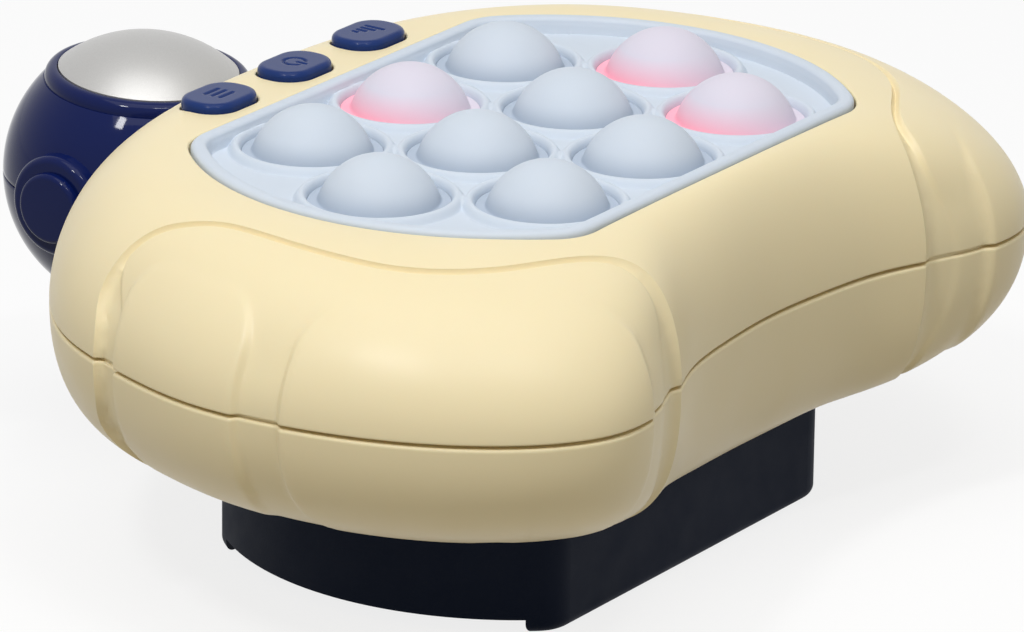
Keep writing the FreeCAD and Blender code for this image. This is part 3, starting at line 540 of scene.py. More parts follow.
def tilted(shape):
    # Turned about the helmet's middle, so that its top leans towards the body.
    points, faces = shape
    x, y, z = (np.asarray(points, float) - (helmet_x, 0, helmet_z)).T
    return together(
        x * tilt_cos + z * tilt_sin + helmet_x, y, z * tilt_cos - x * tilt_sin + helmet_z), faces


def clear_of_helmet(points):
    # Distance from the helmet's socket, positive outside it.
    x, y, z = (points - (helmet_x, 0, helmet_z)).T
    ball_away = np.sqrt(x ** 2 + y ** 2 + z ** 2) - helmet_r - moulded_gap
    bezel_away = np.hypot(x * tilt_cos - z * tilt_sin, y) - bezel_r - moulded_gap
    above = z * tilt_cos + x * tilt_sin > bezel_seat - moulded_gap
    return np.where(above, np.minimum(ball_away, bezel_away), ball_away)


def halved(near, far, is_short):
    # Between near and far, where is_short turns false.
    for _ in range(40):
        middle = (near + far) / 2.0
        short = is_short(middle)
        near = np.where(short, middle, near)
        far = np.where(short, far, middle)
    return near


def both_sides(angle, q):
    return [together(angle, q), together(-angle, q)]


def socket_rows(half):
    # Rows on the body along the helmet's socket.
    found = []
    for offset in edge_offsets:
        q = np.linspace(0.02, 0.9, 150)
        q = q[clear_of_helmet(on_body(np.pi, q, half)) < offset]
        angle = halved(np.pi / 2, np.pi, lambda turn: clear_of_helmet(on_body(turn, q, half)) > offset)
        found += both_sides(angle, q)
    return found


def groove_rows(curve, room, half):
    # Rows beside a groove's edge; each offset is a share of the wall's width at that x.
    width = np.interp(curve[:, 0], wall_at, room)[:, None]
    across = beside(np.gradient(curve, axis=0)) * width
    rows = []
    for offset in (-0.3, 0, 0.25, 0.5, 0.75, 1):
        coarse = curve + across * offset
        steps = np.linspace(0, len(coarse) - 1, len(coarse) * 12)
        x, y = (np.interp(steps, np.arange(len(coarse)), values) for values in coarse.T)
        on_top = np.hypot(x, y) < seam_reach(np.arctan2(y, x)) + 0.15
        angle, q = q_of_plan(x[on_top], y[on_top], half)
        walked = np.linalg.norm(np.diff(on_body(angle, q, half), axis=0), axis=1)
        run = np.concatenate([[0], np.cumsum(walked)])
        stops = np.arange(0, run[-1], 0.4)
        angle = np.interp(stops, run, np.unwrap(angle))
        q = np.interp(stops, run, q)
        inner = q > q_of_height(0.7, half)
        rows += both_sides(angle[inner], q[inner])
    return rows


def pad_rows(half):
    # Rows along a pad's edges: those at its left and right follow x, the one at its side follows y.
    share = belly_share if half["up"] < 0.0 else 1.0
    turn = np.linspace(0, np.pi / 2, 16)
    rows = []
    for left, right, top, least_side in pads:
        edges = [(0, left, 1, 40, 115)]
        if right < 30.0:
            edges.append((0, right, -1, 40, 115))
        if least_side > 0.0:
            edges.append((1, least_side, 1, 0, 60))
        low = top - pad_corner
        for axis, edge, inward, from_angle, to_angle in edges:
            for offset in (0, 0.3, 0.6, 0.9, 1.2):
                radius = pad_corner + offset
                corner = together(
                    edge + inward * (pad_corner - radius * np.cos(turn)), low + radius * np.sin(turn))
                path = np.vstack([together(edge - inward * offset, np.arange(0.8, low, 0.5)), corner])
                goal, height = path.T / ((1,), (share,))
                on_side = height < 0.97 * abs(half["rise"])
                goal = goal[on_side]
                q = q_of_height(height[on_side], half)
                sign = 1.0 - 2.0 * axis
                angle = halved(
                    math.radians(from_angle), math.radians(to_angle),
                    lambda turn: sign * (on_body(turn, q, half)[:, axis] - goal) > 0)
                rows += both_sides(angle, q)
    return rows


def loop_rows(loops, half):
    # Rows beside each cut's outline, halfway between its corners.
    rows = []
    for loop in loops:
        for offset in edge_offsets:
            moved = grown(loop, offset)
            rows.append(together(*q_of_plan(*(moved + np.roll(moved, -1, 0)).T / 2, half)))
    return rows


# The rims' corners, closer together where a groove crosses the seam.
rim_angles = [full_turn(720)]
for (x0, y0), (x1, y1), count in (
    ((43.6, 26.5), (48, 42.5), 80), ((14.5, 70.8), (3.5, 71.6), 36), ((-14, 68.3), (-24, 63.8), 60),
):
    stretch = np.linspace(math.atan2(y0, x0), math.atan2(y1, x1), count)
    rim_angles += [stretch, 2 * np.pi - stretch]
rim_angles = np.unique(np.round(np.concatenate(rim_angles), 5))
rim_angles = rim_angles[np.concatenate([[True], np.diff(rim_angles) > 2e-4])]
edge_offsets = (-0.25, 0.02, 0.08, 0.16, 0.28, 0.42)
seam_half_gap = 0.24
cut_round = 0.35
skin_inset = 0.008


def shell_half(half, loops):
    # The outer skin is knitted from rings and from rows along every edge; the inner skin is rings.
    count = len(rim_angles)
    lip = half["lip"]
    rings = []
    for share in (0, 0.1, 0.25, 0.45, 0.7, 1, 1.3):
        rings.append(together(rim_angles, q_of_height(seam_half_gap + lip * share, half)))
    grooves = groove_rows(trunk_curve, trunk_wall, half) + groove_rows(limb_curve, limb_wall, half)
    firsts = np.vstack(rings + grooves + pad_rows(half) + socket_rows(half) + loop_rows(loops, half))
    # Points of the filling keep their distance from these.
    tree = kdtree.KDTree(len(firsts))
    for i, place in enumerate(on_body(*firsts.T, half)):
        tree.insert(place, i)
    tree.balance()
    filling = []
    for number, q in enumerate(np.linspace(q_of_height(seam_half_gap + lip * 1.3 + 0.5, half), 1, 36)):
        filling.append(together(full_turn(480) + (number % 2) * np.pi / 480, q))
    for q in (1.03, 1.08, 1.15, 1.25, 1.4, 1.6, 1.8):
        filling.append(together(full_turn(int(240 * (2.0 - q)) + 12), q))
    filling = np.vstack(filling)
    kept = [i for i, place in enumerate(on_body(*filling.T, half)) if tree.find(place)[2] > 0.42]
    where = np.vstack([firsts, filling[kept]])
    rows = []
    start = len(rings) * count
    for row in grooves:
        rows.append((start, len(row)))
        start += len(row)
    faces = knit(unroll(*where.T, half), [(0, count)], rows)
    skin = on_body(*where.T, half)
    edge = clear_of_helmet(skin)
    for loop in loops:
        edge = np.minimum(edge, depth_in(loop, skin[:, 0], skin[:, 1]))
    from_rim = np.abs(skin[:, 2] - seam_z) - seam_half_gap
    fall = np.maximum(rounded_over(from_rim, lip), rounded_over(edge, cut_round))
    skin = under_skin(*where.T, half, (relief(skin) + fall + skin_inset)[:, None])
    up = half["up"]
    step_in, step_up = half["step"]
    inner = []
    for inset, z in ((step_in, up * seam_half_gap), (step_in, step_up), (shell_wall, step_up)):
        ring = under_skin(rim_angles, 0, half, inset)
        ring[:, 2] = seam_z + z
        inner.append(ring)
    for q in (0.12, 0.25, 0.4, 0.55, 0.7, 0.85, 1, 1.3, 1.7):
        inner.append(under_skin(rim_angles, q, half, shell_wall))
    tip = [(0, 0, seam_z + half["rise"] - up * shell_wall)]
    points = np.vstack([skin] + inner + [tip])
    before = 0
    for after in range(len(skin), len(points) - 1, count):
        faces += band(after, before, count)
        before = after
    faces += turned_over(fan(before, len(points) - 1, count))
    return points, faces if up > 0 else turned_over(faces)


screw_at = [(30, 50), (30, -50), (-30, 46), (-30, -46)]
post_r = 3.5
post_under_skin = 1.7
screw_well_r = 2.8
screw_hole_r = 1.6
well_roof = 30.0
grille_rings = ((0, 1), (3.6, 6), (7.2, 12))
grille_hole_r = 0.9
grille_depth = 12.6
grille_at = (0, 47.5, 16.3)
crown_z = seam_z + crown["rise"]
belly_z = seam_z + belly["rise"]
pocket_z = belly_z + 1.2
socket = [ball(helmet_x, helmet_z, helmet_r + moulded_gap)]


def post(x, y, half):
    # A screw's post, from the seam to just under the skin.
    count = 48
    up = half["up"]
    loop = circle_loop(x, y, post_r, count)
    ends = under_skin(*q_of_plan(*np.vstack([loop, [(x, y)]]).T, half), half, post_under_skin)
    points = np.vstack([together(*loop.T, seam_z + up * seam_half_gap), ends])
    faces = [tuple(range(count - 1, -1, -1))] + band(0, count, count) + fan(count, 2 * count, count)
    return points, faces if up > 0 else turned_over(faces)


def geometry_tree(name, inputs):
    # A tree with these inputs, and the identifiers by which a modifier sets them.
    tree = bpy.data.node_groups.new(name, "GeometryNodeTree")
    names = {}
    for label, kind in inputs:
        socket = tree.interface.new_socket(label, in_out="INPUT", socket_type="NodeSocket" + kind)
        names[label] = socket.identifier
    tree.interface.new_socket("Geometry", in_out="OUTPUT", socket_type="NodeSocketGeometry")
    return tree, names, tree.nodes.new("NodeGroupInput").outputs


def finish_tree(tree, geometry, material):
    real = add_node(tree, "GeometryNodeRealizeInstances", {"Geometry": geometry})
    coat = add_node(tree, "GeometryNodeSetMaterial", {"Geometry": real, "Material": material})
    add_node(tree, "NodeGroupOutput", {"Geometry": coat})


# A ring of upright pins about the origin, for cutting a ring of round holes.
tree, names, entry = geometry_tree("ring_of_holes", (
    ("Count", "Int"), ("Ring radius", "Float"), ("Hole radius", "Float"), ("Depth", "Float"),
    ("Finish", "Material")))
hole_ring = tree, names


def worked(operation, *values):
    return add_node(hole_ring[0], "ShaderNodeMath", enumerate(values), operation=operation)


index = add_node(tree, "GeometryNodeInputIndex")
turn = worked("DIVIDE", worked("MULTIPLY", index, 2 * math.pi), entry["Count"])
place = add_node(tree, "ShaderNodeCombineXYZ", {
    "X": worked("MULTIPLY", worked("COSINE", turn), entry["Ring radius"]),
    "Y": worked("MULTIPLY", worked("SINE", turn), entry["Ring radius"])})
spots = add_node(tree, "GeometryNodePoints", {"Count": entry["Count"], "Position": place})
pin = add_node(tree, "GeometryNodeMeshCylinder", {
    "Vertices": 24, "Radius": entry["Hole radius"], "Depth": entry["Depth"]})
each = add_node(tree, "GeometryNodeInstanceOnPoints", {"Points": spots, "Instance": pin})
finish_tree(tree, each, entry["Finish"])


def made_by(name, data, maker, values):
    # The plain mesh that a node tree makes of the data with these values.
    holder = shown(name, data)
    step = holder.modifiers.new(name, "NODES")
    step.node_group, names = maker
    for key, value in values.items():
        step[names[key]] = value
    mesh = evaluated(holder)
    bpy.data.objects.remove(holder)
    return mesh


def shape_of(mesh, offset=(0, 0, 0)):
    # A mesh's points, in millimetres about the middle of the bubble field, and its faces.
    points = np.array([tuple(vertex.co) for vertex in mesh.vertices]) * 1000 + offset
    return points, [tuple(face.vertices) for face in mesh.polygons]


lower_body = shell_half(belly, [base_loop(moulded_gap)])
screw_posts = gathered([post(x, y, belly) for x, y in screw_at])
screw_wells = gathered([prism(circle_loop(x, y, screw_well_r, 48), 5, well_roof) for x, y in screw_at])
screw_holes = gathered([
    prism(circle_loop(x, y, screw_hole_r, 32), well_roof - 1, seam_z + 2) for x, y in screw_at])
grille = []
for radius, count in grille_rings:
    pins = made_by("grille_pins", bpy.data.meshes.new("grille_pins"), hole_ring, {
        "Count": count, "Ring radius": radius / 1000, "Hole radius": grille_hole_r / 1000,
        "Depth": grille_depth / 1000, "Finish": navy_base})
    grille.append(shape_of(pins, grille_at))
base_pocket = prism(base_loop(moulded_gap), belly_z - 3, pocket_z)
lower_mesh = carved("lower_shell", lower_body, [screw_posts], [
    base_pocket, screw_wells, screw_holes, gathered(grille)] + socket)

# ABS pigmented cream: a fine satin etch, faint flow marks and a little light carried below the skin.
cream = finish(
    "satin_cream", drifting((0.880, 0.755, 0.470), (0.910, 0.790, 0.510), 26), (0.34, 0.42), (7, 4),
    (0.16, 0.006), {
        "Specular IOR Level": 0.28, "Subsurface Weight": 0.08, "Subsurface Radius": (1, 0.7, 0.4),
        "Subsurface Scale": 0.002})
piece("lower_shell", lower_mesh, cream, "console", "cream", "bottom_shell")


# Upper shell
# The crown half, from the same cream ABS. Its pocket holds the silicone field, three windows pass the
# keys, and a groove in its rim drops over the lip of the lower shell.
key_x = -37.6
key_half_x = 4.0
key_half_y = 5.4
key_places = [("menu_key", -16.9), ("power_key", 0), ("volume_key", 16.9)]


def key_loop(y, grow, step=0.35):
    # A key's outline: four quarter turns joined by straight runs.
    corner = 3.6 + grow
    quarter = np.linspace(0, np.pi / 2, max(5, int(corner * 1.57 / step)))
    arcs = []
    for number, (sx, sy) in enumerate(((1, 1), (-1, 1), (-1, -1), (1, -1))):
        turn = quarter + number * np.pi / 2
        middle = (key_x + sx * (key_half_x + grow - corner), y + sy * (key_half_y + grow - corner))
        arcs.append(middle + polar(turn, corner))
    runs = []
    for arc, after in zip(arcs, arcs[1:] + arcs[:1]):
        gap = after[0] - arc[-1]
        stops = np.linspace(0, 1, max(2, int(np.linalg.norm(gap) / step)), endpoint=False)[1:, None]
        runs += [arc, arc[-1] + gap * stops]
    return np.vstack(runs)


windows = [key_loop(y, 0.25) for name, y in key_places]
upper_body = shell_half(crown, [panel_loop(moulded_gap)] + windows)
upper_posts = gathered([post(x, y, crown) for x, y in screw_at])
bezel_low = helmet_z + bezel_seat - moulded_gap
bezel_room = prism(circle_loop(helmet_x, 0, bezel_r + moulded_gap, 160), bezel_low, crown_z + 3)
upper_mesh = carved("upper_shell", upper_body, [upper_posts], [
    prism(panel_loop(moulded_gap), 48, crown_z + 3),
    gathered([prism(window, 48, crown_z + 3) for window in windows]),
    tilted(bezel_room),
] + socket)
piece("upper_shell", upper_mesh, cream, "console", "cream", "top_shell")


# Silicone field
# One sheet of pale blue silicone, moulded with a rolled rim, a flat floor and a round-topped ring about
# each of the ten wells. Its skirt is gripped between the upper shell's pocket and the frame.
floor_z = 54.1
rim_z = 56.3
ring_z = 55.2
well_r = 9.3
ring_mid = 10.1
ring_in = 0.8
ring_out = 1.0
row_pitch = 18.6
bubble_pitch = 22.0
bubble_places = []
for row, count in ((-1, 3), (0, 4), (1, 3)):
    for index in range(count):
        bubble_places.append((row * row_pitch, (index - (count - 1) / 2) * bubble_pitch))


def field_height(x, y):
    ring = np.zeros(len(x))
    for cx, cy in bubble_places:
        away = np.hypot(x - cx, y - cy)
        outer = np.clip((away - ring_mid) / ring_out, 0, 1)
        inner = np.clip((ring_mid - away) / ring_in, 0, 1)
        ring += (1.0 - outer ** 2) ** 1.15 * (1.0 - inner ** 2.4) ** 0.7
    height = floor_z + (ring_z - floor_z) * np.minimum(ring, 1)
    inside = -depth_in(panel_loop(0), x, y)
    rolled = rim_z - rounded_over(inside, 0.8)
    fall = np.clip((inside - 1.45) / 0.75, 0, 1)
    rolled = rolled - 0.7 * (1.0 - np.sqrt(1.0 - fall ** 2))
    wall = floor_z + (rim_z - 0.7 - floor_z) * (1.0 - eased((inside - 2.2) / 0.45))
    return np.maximum(height, np.where(inside > 2.2, wall, rolled))


rim_loop = panel_loop(0, 0.45)
rim_offsets = (
    0.05, 0.17, 0.35, 0.57, 0.8, 1.1, 1.45, 1.65, 1.85, 2, 2.1, 2.17, 2.2, 2.29, 2.38, 2.48, 2.6)
ring_radii = (9.33, 9.37, 9.44, 9.55, 9.7, 9.9, 10.1, 10.3, 10.5, 10.7, 10.88, 11.04, 11.16, 11.35)
around = 200
sheet = [rim_loop] + [circle_loop(*place, well_r, around) for place in bubble_places]
edge_count = len(np.vstack(sheet))
wells = [(first, around) for first in range(len(rim_loop), edge_count, around)]
loops = [(0, len(rim_loop))] + wells
sheet += [grown(rim_loop, -offset) for offset in rim_offsets]
centres = np.array(bubble_places)


def from_centres(points):
    return np.hypot(points[:, None, 0] - centres[:, 0], points[:, None, 1] - centres[:, 1])


def open_floor(points):
    # Points on the sheet's floor and rings.
    inside = depth_in(panel_loop(0), *points.T) < -2.7
    return points[inside & (from_centres(points).min(1) > well_r + 0.03)]


def grid_over(half_x, half_y, step):
    grid = np.meshgrid(np.arange(-half_x, half_x, step), np.arange(-half_y, half_y, step))
    return np.stack(grid, -1).reshape(-1, 2)


for number, place in enumerate(bubble_places):
    for radius in ring_radii:
        ring = open_floor(circle_loop(*place, radius, around))
        sheet.append(ring[from_centres(ring).argmin(1) == number])
grid = open_floor(grid_over(31, 47, 0.6))
sheet.append(grid[from_centres(grid).min(1) > 11.7])
sheet = np.vstack(sheet)
top_faces = knit(sheet, loops)
sheet_top = together(*sheet.T, field_height(*sheet.T))
skirt_z = 52.4
low = len(sheet)
sheet_low = together(*sheet[:edge_count].T, skirt_z)
low_faces = [(low + c, low + b, low + a) for a, b, c in knit(sheet[:edge_count], loops)]
side_faces = band(low, 0, len(rim_loop))
for first, count in wells:
    side_faces += turned_over(band(low + first, first, count))
field_mesh = mesh_of("silicone_field", np.vstack([sheet_top, sheet_low]), top_faces + low_faces + side_faces)


def silicone(name, colour, carried=0.1, carried_by=(0.8, 0.95, 1.1)):
    # Translucent silicone: matte, light carried a few millimetres inside, a faint bloom of dust.
    return finish(name, colour, (0.50, 0.62), (2.5, 5), (0.3, 0.006), {
        "Subsurface Weight": carried, "Subsurface Radius": carried_by, "Subsurface Scale": 0.0025,
        "Specular IOR Level": 0.2})


pale_blue = drifting((0.620, 0.685, 0.765), (0.650, 0.715, 0.795), 9, 4)
# Painted shade: the darker blue that the domes take towards their feet.
painted_shade_foot_blue = drifting((0.43, 0.50, 0.60), (0.46, 0.53, 0.63), 9, 4)
pale_silicone = silicone("pale_silicone", pale_blue)
piece("silicone_field", field_mesh, pale_silicone, "console", "silicone", "bubble_panel", crease=50)


# Push bubbles
# Ten hollow silicone domes, each on a thin web in its well with a stem under the crown that reaches a
# push switch. Three of them are lit from below by pink diodes, whose light is painted into their colour and
# emission.
# The tree turns the object's curve, radius along x and height along y, about an upright axis at Place.
tree, names, entry = geometry_tree("turned_piece", (
    ("Geometry", "Geometry"), ("Steps around", "Int"), ("Place", "Vector"), ("Tilt", "Vector"),
    ("Finish", "Material")))
turning = tree, names
circle = add_node(tree, "GeometryNodeCurvePrimitiveCircle", {
    "Radius": 1, "Resolution": entry["Steps around"]})
turn = add_node(tree, "GeometryNodeCurveToMesh", {"Curve": circle, "Profile Curve": entry["Geometry"]})
merge = add_node(tree, "GeometryNodeMergeByDistance", {"Geometry": turn, "Distance": 3e-6})
flip = add_node(tree, "GeometryNodeFlipFaces", {"Mesh": merge})
move = add_node(tree, "GeometryNodeTransform", {
    "Geometry": flip, "Translation": entry["Place"], "Rotation": entry["Tilt"]})
finish_tree(tree, move, entry["Finish"])


def turned(name, profile, place, material, steps=128, tilt=(0.0, 0.0, 0.0)):
    # profile: (radius, height) from the outside of the bottom over the top and back down the inside.
    curve = bpy.data.curves.new(name, "CURVE")
    curve.dimensions = "2D"
    line = curve.splines.new("POLY")
    line.points.add(len(profile) - 1)
    for point, (radius, height) in zip(line.points, profile):
        point.co = (radius / 1000 - 1, -height / 1000, 0, 1)
    line.use_cyclic_u = profile[0][0] > 0.0 or profile[-1][0] > 0.0
    x, y, z = place
    return made_by(name, curve, turning, {
        "Steps around": steps, "Place": ((x + shift_x) / 1000, y / 1000, z / 1000),
        "Tilt": tilt, "Finish": material})


def arc(cx, cz, radius, a0, a1, count):
    return (polar(np.radians(np.linspace(a0, a1, count)), radius) + (cx, cz)).tolist()


dome_r = 8.0
dome_h = 6.1
dome_ball = (dome_r ** 2 + dome_h ** 2) / (2.0 * dome_h)
dome_low = dome_h - dome_ball
foot = 0.35
foot_angle = math.degrees(math.asin((foot - dome_low) / (dome_ball + foot)))
foot_x = (dome_ball + foot) * math.cos(math.radians(foot_angle))
bubble_profile = [(0, -1), (7, -1), (9.27, -1), (9.27, -0.06), (9.21, 0)]
bubble_profile += arc(foot_x, foot, foot, -90, 180.0 + foot_angle - 360, 7)
bubble_profile += arc(0, dome_low, dome_ball, foot_angle, 90, 44)
bubble_profile[-1] = (0, dome_h)
lit_bubbles = (2, 7, 10)


def dome_colour_with_painted_shade(tree):
    # Painted shade: the colour darkens towards the dome's foot, so the low part of each dome looks shaded.
    place = add_node(tree, "ShaderNodeTexCoord").outputs["Object"]
    axes = add_node(tree, "ShaderNodeSeparateXYZ", {"Vector": place})
    height = add_node(tree, "ShaderNodeMapRange", {
        "Value": axes.outputs["Z"], "From Min": (floor_z - 0.6) / 1000,
        "From Max": (floor_z + 3.2) / 1000}, interpolation_type="SMOOTHSTEP")
    return mixed(tree, height, painted_shade_foot_blue(tree), pale_blue(tree))


def glow_between(dark, lit):
    # Painted light: a colour that follows the diode's light in the dome, strongest low on the diode's side.
    def colour(tree):
        glow = add_node(tree, "ShaderNodeAttribute", attribute_name="glow")
        return colour_between(tree, glow.outputs["Fac"], dark, lit)
    return colour


dome_silicone = silicone("dome_silicone", dome_colour_with_painted_shade)
# Painted light: the lit domes turn pink and glow faintly where the diodes' light would fall; the diodes are
# no lamps.
pink_painted_glow_silicone = silicone(
    "lit_silicone", glow_between((0.69, 0.66, 0.745), (0.93, 0.41, 0.50)), 0.2, (1.2, 0.9, 1))
lit_tree = pink_painted_glow_silicone.node_tree
lit_shader = lit_tree.nodes["Principled BSDF"]
# Painted light: an emission glow, pink where the diode's light falls.
lit_tree.links.new(
    glow_between((0.30, 0.26, 0.34), (1, 0.22, 0.36))(lit_tree), lit_shader.inputs["Emission Color"])
lit_shader.inputs["Emission Strength"].default_value = 0.16
for number, (x, y) in enumerate(bubble_places, 1):
    lit = number in lit_bubbles
    material = pink_painted_glow_silicone if lit else dome_silicone
    mesh = turned(f"push_bubble_{number}", bubble_profile, (x, y, floor_z), material, 120)
    if lit:
        # Painted light: how much of the diode's glow each point shows, strongest low on the diode's side.
        glow = mesh.attributes.new("glow", "FLOAT", "POINT")
        for vertex, value in zip(mesh.vertices, glow.data):
            turn = math.atan2(vertex.co.y * 1000 - y, vertex.co.x * 1000 - x - shift_x)
            height = max(0, vertex.co.z * 1000 - floor_z)
            low = max(0, 1.0 - height / 3.6)
            value.value = low * (0.5 + 0.45 * math.cos(turn - math.radians(-128)))
    piece(f"push_bubble_{number}", mesh, material, f"bubble_{number}", "silicone_lit" if lit else "silicone",
          f"bubble_{number}")


# Keys
# Three navy ABS caps with rounded edges and a shallow sign sunk in each top. A flange under the upper
# shell keeps them in, and a stem on each presses a switch on the board.
key_top = 56.9
key_foot = 52.0
key_round = 0.8
sign_depth = 0.3


def key_mesh(name, y, sign):
    loop = key_loop(y, 0, 0.3)
    rows = [loop] + [grown(loop, -d) for d in (0.03, 0.1, 0.2, 0.32, 0.46, 0.62, key_round)]
    grid = grid_over(key_half_x, key_half_y, 0.14) + (key_x, y)
    flat = np.vstack(rows + [grid[depth_in(grown(loop, -key_round - 0.12), *grid.T) < 0]])
    inside = -depth_in(loop, *flat.T)
    stroke = sign(flat[:, 0] - key_x, flat[:, 1] - y)
    top = key_top - rounded_over(inside, key_round)
    top = top - sign_depth * (1.0 - eased((stroke + 0.16) / 0.28))
    count = len(loop)
    low = len(flat)
    faces = knit(flat, [(0, count)]) + band(low, 0, count) + [tuple(range(low + count - 1, low - 1, -1))]
    return mesh_of(name, np.vstack([together(*flat.T, top), together(*loop.T, key_foot)]), faces)


def bar(x, y, cx, cy, half_x, half_y):
    return past_box(np.abs(x - cx) - half_x, np.abs(y - cy) - half_y) - 0.08


def three_bars(x, y):
    return np.minimum.reduce([bar(x, y, offset, 0, 0.14, 1.5) for offset in (-1.2, 0, 1.2)])


def power_ring(x, y):
    ring = np.abs(np.hypot(x, y) - 1.5) - 0.2
    ring = np.where((x > 0) & (np.abs(y) < 0.75), 1, ring)
    return np.minimum(ring, bar(x, y, 1.15, 0, 0.75, 0.13))


def level_bars(x, y):
    heights = ((-1.5, 0.4), (-0.5, 0.75), (0.5, 1.1), (1.5, 1.5))
    return np.minimum.reduce([bar(x, y, h - 1.5, offset, h, 0.14) for offset, h in heights])


navy_key = moulded(
    "navy_key", (0.011, 0.032, 0.145), (0.014, 0.038, 0.165), 6, (0.14, 0.003), (0.13, 0.18),
    {"Specular IOR Level": 0.11})
for (name, y), sign in zip(key_places, (three_bars, power_ring, level_bars)):
    piece(name + "_cap", key_mesh(name, y, sign), navy_key, name, "navy_satin", name, crease=60)


# Helmet
# A hollow ball of navy ABS in two halves, polished in the mould and lacquered to a high gloss. It sits in
# a dish between the shells and two screws from inside hold it.
navy_gloss = finish(
    "gloss_navy", drifting((0.0028, 0.0090, 0.076), (0.0038, 0.0112, 0.088), 18, 2), (0.045, 0.085),
    (3, 5), (1.6, 0.002), {"Specular IOR Level": 0.13})
helmet_inner = 17.1
helmet_at = (helmet_x, 0, helmet_z)
upper_profile = [(helmet_inner, 0.05), (18.9, 0.05), (19.04, 0.12)] + arc(0, 0, helmet_r, 0.7, 90, 60)
upper_profile[-1] = (0, helmet_r)
upper_profile += [(0, helmet_inner)] + arc(0, 0, helmet_inner, 89, 1, 40)
lower_profile = [(0, -helmet_r)] + arc(0, 0, helmet_r, -89, -0.7, 90) + [(19.04, -0.12)]
lower_profile += [(18.9, -0.05), (helmet_inner, -0.05)] + arc(0, 0, helmet_inner, -1, -89.9, 30)[1:-1]
lower_profile.append((0, -helmet_inner))
whole_top = shape_of(turned("helmet_top", upper_profile, helmet_at, navy_gloss, 192), (-shift_x, 0, 0))
opening = prism(circle_loop(helmet_x, 0, helmet_r, 96), helmet_z + bezel_seat, helmet_z + helmet_r + 1)
piece("helmet_crown", carved("helmet_crown", whole_top, [], [tilted(opening)]), navy_gloss,
      "console", "navy_gloss", "helmet_upper")


def helmet_piece(
        name, profile, node, tilt=(0.0, 0.0, 0.0), steps=192, material=navy_gloss, slot="navy_gloss"):
    mesh = turned(name, profile, helmet_at, material, steps, tilt)
    piece(name, mesh, material, "console", slot, node)


helmet_piece("helmet_chin", lower_profile, "helmet_lower")


# Visor and its bezel
# The bezel is a glossy navy ring pressed into the helmet. The visor is a clear cap sprayed pearl silver
# from behind and lacquered, resting on the ledge inside the ring.
visor_r = 12.4
visor_z = math.sqrt(helmet_r ** 2 - visor_r ** 2)
lean = (0.0, helmet_tilt, 0.0)
bezel_in = 11.4
bezel_top_r = 12.75
bezel_side = bezel_seat + 0.25
bezel_ledge = bezel_seat + 0.7
swell = (bezel_r - bezel_top_r, visor_z - bezel_side)
bezel_profile = [(bezel_in, bezel_seat), (bezel_r, bezel_seat), (bezel_r, bezel_side)]
bezel_profile += (polar(np.radians(np.arange(10, 90, 10)), 1) * swell + (bezel_top_r, bezel_side)).tolist()
bezel_profile += [(bezel_top_r, visor_z)] + arc(12.6, visor_z - 0.2, 0.2, 90, 180, 5)
bezel_profile += [(visor_r, bezel_ledge), (bezel_in, bezel_ledge)]
helmet_piece("visor_ring", bezel_profile, "visor_bezel", lean)
silver = finish(
    "pearl_silver", drifting((0.40, 0.395, 0.385), (0.52, 0.515, 0.505), 0.12, 2), (0.36, 0.44),
    (0.3, 2), (0.12, 0.003), {"Metallic": 0.55, "Coat Weight": 0.3, "Coat Roughness": 0.25})
edge_angle = math.degrees(math.acos(12.3 / helmet_r))
visor_profile = [(0, 17.6), (6, 16.6), (10.8, 13.9), (10.8, 13.4), (12.3, 13.4)]
visor_profile += arc(0, 0, helmet_r, edge_angle, 90, 40)
visor_profile[-1] = (0, helmet_r)
helmet_piece("visor_cap", visor_profile, "visor", lean, 160, silver, "visor_silver")


# Ear discs
# On each side of the helmet a turned-looking disc with a smaller cap on it, moulded in the same glossy
# navy and pinned through the wall of the ball.
for side, name in ((-1, "left"), (1, "right")):
    tilt = (side * -math.pi / 2, 0.0, 0.0)
    disc = [(0, 17.2), (6.9, 17.2), (7, 17.3)] + arc(6, 19.2, 1, 0, 90, 10) + [(0, 20.2)]
    cap = [(0, 19.9), (4.9, 19.9)] + arc(4.2, 20.7, 0.7, 0, 90, 8) + [(0, 21.4)]
    for part, profile in (("disc", disc), ("cap", cap)):
        helmet_piece(f"ear_{part}_{name}_piece", profile, f"ear_{part}_{name}", tilt, 96)


# Studio
# A white sheet under the object, a broad soft light above, two small ones in front and at the right,
# and a camera at the photograph's angle.
def seen_rays(tree):
    # 1 for rays that show the background: those of the camera, of reflections and through clear things.
    rays = add_node(tree, "ShaderNodeLightPath").outputs
    result = rays["Is Camera Ray"]
    for kind in ("Is Glossy Ray", "Is Transmission Ray"):
        result = add_node(tree, "ShaderNodeMath", {0: result, 1: rays[kind]}, operation="MAXIMUM").outputs[0]
    return result


def sheet_colour(tree):
    white = colour_between(tree, noise_of(tree, 400), (0.95, 0.95, 0.95), (0.96, 0.96, 0.96))
    return mixed(tree, seen_rays(tree), (0.42, 0.39, 0.33, 1), white)


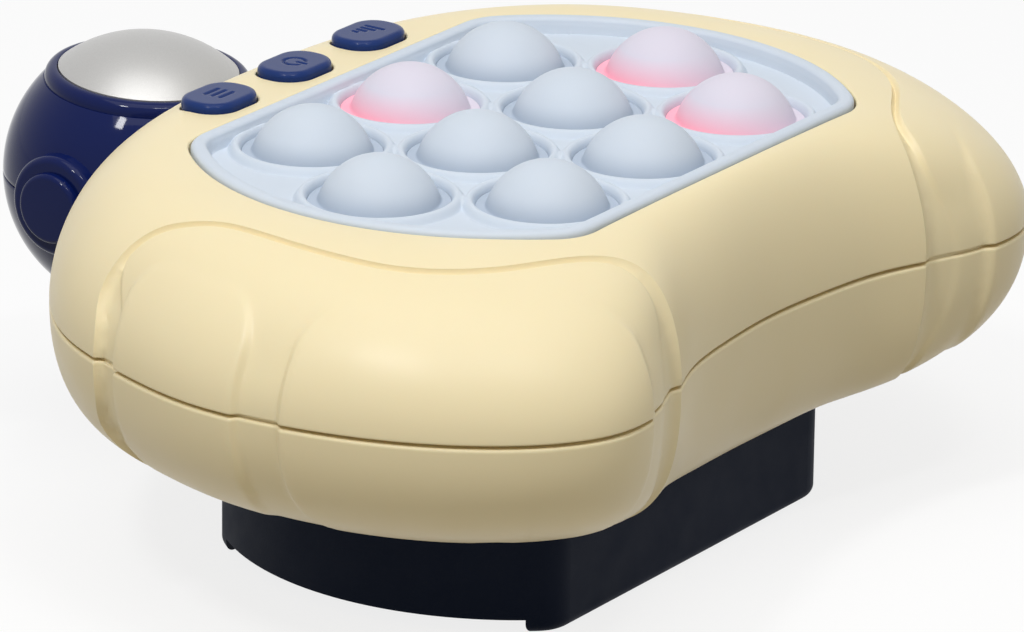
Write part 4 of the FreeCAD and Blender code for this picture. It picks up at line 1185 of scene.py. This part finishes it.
studio_sheet = bpy.data.materials.new("studio_sheet")
studio_sheet.use_nodes = True
sheet_tree = studio_sheet.node_tree
sheet_shader = sheet_tree.nodes["Principled BSDF"]
sheet_shader.inputs["Roughness"].default_value = 0.9
sheet_shader.inputs["Specular IOR Level"].default_value = 0.0
sheet_tree.links.new(sheet_colour(sheet_tree), sheet_shader.inputs["Base Color"])
plain = add_node(sheet_tree, "ShaderNodeEmission")
share = add_node(sheet_tree, "ShaderNodeMath", {0: seen_rays(sheet_tree), 1: 0.82}, operation="MULTIPLY")
both = add_node(sheet_tree, "ShaderNodeMixShader", {
    "Fac": share.outputs[0], 1: sheet_shader.outputs["BSDF"], 2: plain.outputs["Emission"]})
sheet_tree.links.new(both.outputs["Shader"], sheet_tree.nodes["Material Output"].inputs["Surface"])
floor_mesh = bpy.data.meshes.new("studio_floor")
floor_mesh.from_pydata([(-3, -3, 0), (3, -3, 0), (3, 3, 0), (-3, 3, 0)], [], [(0, 1, 2, 3)])
floor_mesh.materials.append(studio_sheet)
floor = shown("studio_floor", floor_mesh)

lamp_target = Vector((0, 0, 0.04))
for name, place, size, power in (
    ("overhead", (0.12, -0.20, 1.10), (0.9, 0.9), 5.3),
    ("front_box", (0.04, -0.65, 0.93), (0.11, 0.17), 3.5),
    ("right_box", (0.49, -0.28, 0.99), (0.22, 0.08), 1.5),
):
    light = bpy.data.lights.new(name, "AREA")
    light.shape = "RECTANGLE"
    light.size, light.size_y = size
    light.energy = power
    lamp = shown(name, light)
    lamp.location = place
    lamp.rotation_euler = (lamp_target - lamp.location).to_track_quat("-Z", "Y").to_euler()

world = bpy.data.worlds.new("studio_air")
world.use_nodes = True
air = world.node_tree
backdrop = air.nodes["Background"]
level = add_node(air, "ShaderNodeMapRange", {"To Min": 0.27, "To Max": 1, "Value": seen_rays(air)})
air.links.new(level.outputs["Result"], backdrop.inputs["Strength"])
backdrop.inputs["Color"].default_value = (1, 1, 1, 1)
bpy.context.scene.world = world

view = bpy.data.cameras.new("camera")
view.lens = 281.25
view.sensor_width = 36.0
view.clip_end = 20.0
camera = shown("camera", view)
right = Vector((0.8218, 0.5697, 0.0121)).normalized()
forward = Vector((-0.5325, 0.7753, -0.3397)).normalized()
upward = right.cross(forward).normalized()
camera.location = (0.5801, -0.8226, 0.3888)
camera.rotation_euler = Matrix((right, upward, -forward)).transposed().to_euler()
bpy.context.scene.camera = camera
bpy.context.scene.view_settings.view_transform = "Standard"
